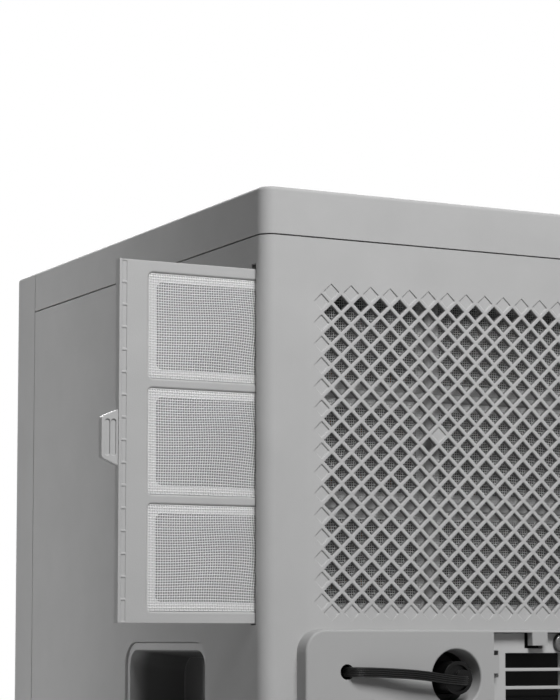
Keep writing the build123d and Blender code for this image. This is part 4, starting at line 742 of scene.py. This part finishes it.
@dataclass
class DrainOutlet:
    """The drain spigot, its cap and the cap's ribbed strap."""

    strap_width: float = 4.0 * MM
    strap_thickness: float = 2.6 * MM
    ribs: int = 5
    rib_depth: float = 0.5 * MM
    face_points: int = 50
    edge_roundness: int = 8
    anchor_x: float = 121.5 * MM
    anchor_z: float = 314.3 * MM
    anchor_depth: float = 2.5 * MM
    knob_shift: float = 2.6 * MM
    knob_drop: float = 1.0 * MM
    # Route points as (run, height, drop) from the anchor, and as (out, rise, up) from the knob
    bends: tuple[Point, ...] = (
        (1.0 * MM, 2.6 * MM, 0.0),
        (13.0 * MM, 3.6 * MM, 0.2 * MM),
        (30.0 * MM, 6.2 * MM, 1.2 * MM),
    )
    cap_approach: Point = (9.0 * MM, 0.8 * MM, 0.4 * MM)
    lift: float = 3.6 * MM
    end_gap: float = 0.3 * MM
    spline_order: int = 3
    spline_runs: int = 16

    def route(self) -> list[Point]:
        """Lists the strap's route points, out of the anchor hole and over to the cap.

        Returns:
            The control points from the anchor hole to the cap.
        """
        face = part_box("cabinet")[1].y
        low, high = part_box("drain_cap")
        knob_x = (low.x + high.x) / 2 - self.knob_shift
        knob_z = (low.z + high.z) / 2 - self.knob_drop
        lift = high.y + self.lift
        ax, az = self.anchor_x, self.anchor_z
        out, rise, up = self.cap_approach
        return [
            (ax, face - self.anchor_depth, az),
            *[(ax - run, face + height, az - drop) for run, height, drop in self.bends],
            (knob_x + out, lift + rise, knob_z + up),
            (knob_x, lift, knob_z),
            (knob_x, high.y + self.end_gap, knob_z),
        ]

    def centreline(self) -> list[Vector]:
        """Reads the strap's smooth centreline from a spline along its route.

        Returns:
            Points along the centreline.
        """
        curve = bpy.data.curves.new("strap_line", "CURVE")
        curve.dimensions = "3D"
        curve.resolution_u = self.spline_runs
        spline = curve.splines.new("NURBS")
        route = self.route()
        spline.points.add(len(route) - 1)
        for control, place in zip(spline.points, route):
            control.co = (*place, 1.0)
        spline.order_u = self.spline_order
        spline.use_endpoint_u = True
        holder = bpy.data.objects.new("strap_line", curve)
        mesh = bpy.data.meshes.new_from_object(holder)
        line = [vertex.co.copy() for vertex in mesh.vertices]
        bpy.data.objects.remove(holder)
        bpy.data.curves.remove(curve)
        bpy.data.meshes.remove(mesh)
        return line

    def section(self) -> Line:
        """Draws the strap's section: two faces of round ribs that meet at rounded edges.

        Returns:
            Distances along the width and through the thickness.
        """
        face = []
        for n in range(self.face_points):
            share = n / self.face_points
            crest = abs(math.sin(math.pi * self.ribs * share))
            edge = math.sqrt(1.0 - (2.0 * share - 1.0) ** self.edge_roundness)
            thick = (self.strap_thickness / 2 - self.rib_depth * (1.0 - crest)) * edge
            face.append(((0.5 - share) * self.strap_width, thick))
        return face + [(-wide, -thick) for wide, thick in face]

    def strap(self) -> bpy.types.Object:
        """Builds the strap along its centreline.

        Returns:
            The strap, bending between the cabinet and the cap.
        """
        line = self.centreline()
        piece = MeshPiece("cap_strap")
        rings = []
        for k, place in enumerate(line):
            ahead = line[min(k + 1, len(line) - 1)] - line[max(k - 1, 0)]
            outward = ahead.cross(Vector((0, 0, 1))).normalized()
            upright = outward.cross(ahead).normalized()
            section = [place + upright * wide + outward * thick for wide, thick in self.section()]
            rings.append([tuple(point) for point in section])
        piece.tube(rings)
        strap = piece.build(STRAP_RUBBER)
        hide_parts("cap_tether")
        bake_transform(strap)
        return strap

    def dress(self) -> None:
        """Builds the strap and gives the outlet its finishes."""
        dress(BLACK_PLASTIC, "drain_spigot")
        dress(CAP_RUBBER, "drain_cap")
        log.info("built %s", self.strap().name)


class Sign(Enum):
    """The plain sign on each button's cap."""

    POWER = "power"
    MODE = "mode"
    FAN = "fan_speed"
    TIMER = "timer"
    LESS = "humidity_down"
    MORE = "humidity_up"


def arc(centre: tuple[float, float], radius: float, start: float, end: float, steps: int = 20) -> Line:
    """Draws part of a circle.

    Args:
        centre: The circle's centre.
        radius: Its radius.
        start: Where the arc starts, in degrees.
        end: Where it ends, in degrees.
        steps: How many runs it has.

    Returns:
        The points of the arc.
    """
    angles = [math.radians(start + (end - start) * n / steps) for n in range(steps + 1)]
    return [(centre[0] + radius * math.cos(a), centre[1] + radius * math.sin(a)) for a in angles]


@dataclass
class Controls:
    """The control panel, its buttons with their signs, and its display."""

    sign_radius: float = 2.1 * MM
    stroke_width: float = 0.6 * MM
    stroke_proud: float = 0.12 * MM
    stroke_sunk: float = 0.1 * MM

    def lines(self, sign: Sign) -> list[Line]:
        """Draws a sign about the middle of its button.

        Args:
            sign: The sign to draw.

        Returns:
            The lines of the sign.
        """
        r = self.sign_radius
        across, upright = [(-r, 0.0), (r, 0.0)], [(0.0, -r), (0.0, r)]
        if sign is Sign.POWER:
            return [arc((0.0, 0.0), r, 125.0, 415.0), [(0.0, 0.2 * r), (0.0, 1.2 * r)]]
        if sign is Sign.MODE:
            bulb = arc((0.0, -0.3 * r), 0.8 * r, 155.0, 385.0)
            return [[(0.0, 1.3 * r), *bulb, (0.0, 1.3 * r)]]
        if sign is Sign.FAN:
            turns = [math.radians(90.0 + 120.0 * n) for n in range(3)]
            hubs = [(0.6 * r * math.cos(a), 0.6 * r * math.sin(a), math.degrees(a)) for a in turns]
            return [arc((x, y), 0.6 * r, turn + 180.0, turn - 20.0) for x, y, turn in hubs]
        if sign is Sign.TIMER:
            hands = [(0.0, 0.7 * r), (0.0, 0.0), (0.5 * r, 0.0)]
            return [arc((0.0, 0.0), 1.1 * r, 0.0, 360.0, steps=28), hands]
        return [across] if sign is Sign.LESS else [across, upright]

    def sign(self, sign: Sign) -> bpy.types.Object:
        """Builds one button's raised sign.

        Args:
            sign: The sign to build.

        Returns:
            The sign, riding on its button.
        """
        low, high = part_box(f"button_{sign.value}")
        middle = Vector(((low.x + high.x) / 2, (low.y + high.y) / 2))
        foot, top = high.z - self.stroke_sunk, high.z + self.stroke_proud
        piece = MeshPiece(f"sign_{sign.value}")
        for line in self.lines(sign):
            placed = [tuple(middle + Vector(point)) for point in line]
            piece.stroke(placed, self.stroke_width, foot, top)
        mark = piece.build(KEY_PRINT)
        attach(mark, f"button_{sign.value}_body")
        return mark

    def dress(self) -> None:
        """Gives the controls their finishes and their signs."""
        dress(BLACK_PLASTIC, "control_panel")
        dress(SMOKED_LENS, "display_lens")
        dress(BOARD, "control_board")
        for sign in Sign:
            dress(KEYCAP, f"button_{sign.value}")
            log.info("built %s", self.sign(sign).name)


@dataclass
class WaterBucket:
    """The bucket with its fascia, window, level marks, lid, bail and float."""

    marks: int = 7
    long_mark: float = 7.0 * MM
    short_mark: float = 4.0 * MM
    mark_gap: float = 3.0 * MM
    mark_height: float = 0.8 * MM
    mark_proud: float = 0.15 * MM
    mark_sunk: float = 0.1 * MM

    def level_marks(self) -> bpy.types.Object:
        """Builds the raised level marks beside the window.

        Returns:
            The marks, riding on the bucket.
        """
        low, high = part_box("level_window")
        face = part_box("bucket_front")[0].y
        near, far = face + self.mark_sunk, face - self.mark_proud
        piece = MeshPiece("level_marks")
        for n in range(self.marks):
            z = low.z + (high.z - low.z) * (n + 0.5) / self.marks
            length = self.short_mark if n % 2 else self.long_mark
            under, over = z - self.mark_height / 2, z + self.mark_height / 2
            ends = (high.x + self.mark_gap, high.x + self.mark_gap + length)
            rings = [[(x, near, under), (x, near, over), (x, far, over), (x, far, under)] for x in ends]
            piece.tube(rings)
        marks = piece.build(KEY_PRINT)
        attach(marks, "bucket")
        return marks

    def dress(self) -> None:
        """Gives the bucket its finishes and its level marks."""
        dress(TANK, "bucket_tank", "bucket_lid")
        dress(HOUSING, "bucket_front")
        dress(CLEAR_WINDOW, "level_window")
        dress(BLACK_PLASTIC, "bucket_handle")
        dress(KEYCAP, "bucket_float")
        log.info("built %s", self.level_marks().name)


@dataclass
class Casters:
    """Four swivel casters."""

    corners: tuple[str, ...] = ("front_left", "front_right", "rear_left", "rear_right")

    def dress(self) -> None:
        """Gives the casters their finishes."""
        dress(BLACK_PLASTIC, *[f"caster_fork_{corner}" for corner in self.corners])
        dress(TREAD, *[f"caster_wheel_{corner}" for corner in self.corners])


@dataclass
class Works:
    """Coils, blower and refrigerant circuit inside the cabinet."""

    def dress(self) -> None:
        """Gives the works their finishes."""
        dress(FIN_STOCK, "evaporator_fins", "condenser_fins")
        dress(COPPER, "evaporator_tube", "condenser_tube")
        dress(COPPER, "suction_pipe", "compressor_inlet_pipe", "discharge_pipe")
        dress(BLACK_PLASTIC, "blower_housing", "fan_wheel")
        dress(ZINC, "fan_shaft", "fan_motor", "compressor_bolts")
        dress(ENAMEL, "compressor", "compressor_foot", "accumulator")
        dress(SOFT_RUBBER, "compressor_grommets")


@dataclass(frozen=True)
class Lamp:
    """A soft rectangular lamp, in metres, watts and degrees."""

    name: str
    place: Point
    target: Point
    size: tuple[float, float]
    watts: float
    spread: float = 180.0

    def hang(self) -> None:
        """Hangs the lamp so that it faces its target."""
        data = bpy.data.lights.new(self.name, "AREA")
        data.shape = "RECTANGLE"
        data.size, data.size_y = self.size
        data.energy = self.watts
        data.spread = math.radians(self.spread)
        lamp = bpy.data.objects.new(self.name, data)
        lamp.location = self.place
        aim = Vector(self.target) - Vector(self.place)
        lamp.rotation_euler = aim.to_track_quat("-Z", "Y").to_euler()
        bpy.context.scene.collection.objects.link(lamp)


@dataclass
class Studio:
    """Floor, lamps, white surround and the photograph's camera, with angles in degrees."""

    floor_half: float = 3.0
    floor_glow: float = 0.62
    fade_start: float = 0.5
    ambient: float = 0.02
    camera_place: Point = (0.570085, 0.970379, 0.326225)
    camera_yaw: float = -117.037
    camera_pitch: float = 5.275
    sensor: float = 36.0
    lens: float = 119.78
    shift: float = 0.11
    lamps: tuple[Lamp, ...] = (
        Lamp("key", (0.165, 1.04, 1.26), (0.05, 0.14, 0.44), (0.5, 0.5), 17.7),
        Lamp("fill", (0.75, -0.55, 0.36), (0.155, -0.09, 0.36), (0.1, 0.7), 0.17, spread=26.0),
        Lamp("front", (-0.6, -2.0, 1.6), (0.0, -0.14, 0.3), (1.4, 1.4), 58.0),
    )

    def floor(self) -> None:
        """Lays a pale floor that keeps the object's shadow and fades to white far off."""
        half = self.floor_half
        corners = [(-half, -half, 0.0), (half, -half, 0.0), (half, half, 0.0), (-half, half, 0.0)]
        floor = MeshPiece("floor", corners, [(0, 1, 2, 3)]).build(FLOOR_PAPER)
        shading = Shading(FLOOR_PAPER.material().node_tree)
        nodes = shading.tree.nodes
        reach = shading.add("ShaderNodeVectorMath")
        reach.operation = "LENGTH"
        shading.join(shading.add("ShaderNodeTexCoord").outputs["Object"], reach.inputs[0])
        fade = shading.step(reach.outputs["Value"], self.fade_start, half, start=self.floor_glow)
        glow = shading.add("ShaderNodeMixShader")
        shading.join(shading.work_out("MULTIPLY", shading.seen_rays(), fade), glow.inputs["Fac"])
        shading.join(nodes["Principled BSDF"].outputs["BSDF"], glow.inputs[1])
        shading.join(shading.add("ShaderNodeEmission").outputs["Emission"], glow.inputs[2])
        shading.join(glow.outputs["Shader"], nodes["Material Output"].inputs["Surface"])

    def surround(self) -> None:
        """Makes the world white to the eye and soft grey as a light."""
        world = bpy.data.worlds.new("surround")
        bpy.context.scene.world = world
        world.use_nodes = True
        shading = Shading(world.node_tree)
        level = shading.add("ShaderNodeMapRange")
        level.inputs["To Min"].default_value = self.ambient
        shading.join(shading.seen_rays(), level.inputs["Value"])
        backdrop = world.node_tree.nodes["Background"]
        backdrop.inputs["Color"].default_value = (1.0, 1.0, 1.0, 1.0)
        shading.join(level.outputs["Result"], backdrop.inputs["Strength"])

    def camera(self) -> None:
        """Sets the camera at the photograph's viewpoint."""
        data = bpy.data.cameras.new("photo_camera")
        data.sensor_width = self.sensor
        data.lens = self.lens
        data.shift_y = self.shift
        camera = bpy.data.objects.new("photo_camera", data)
        camera.location = self.camera_place
        tilt = math.radians(90.0 + self.camera_pitch)
        camera.rotation_euler = (tilt, 0.0, math.radians(self.camera_yaw - 90.0))
        bpy.context.scene.collection.objects.link(camera)
        bpy.context.scene.camera = camera

    def build(self) -> None:
        """Builds the whole studio."""
        bpy.context.scene.view_settings.view_transform = "Standard"
        self.floor()
        self.surround()
        for lamp in self.lamps:
            lamp.hang()
        self.camera()
        log.info("built the studio")


def main() -> None:
    """Builds and dresses every sub-assembly in order."""
    logging.basicConfig(level=logging.INFO)
    assemblies = (
        Housing(),
        AirFilter(),
        DrainOutlet(),
        Controls(),
        WaterBucket(),
        Casters(),
        Works(),
    )
    for assembly in assemblies:
        assembly.dress()
    Studio().build()


if __name__ == "__main__":
    main()
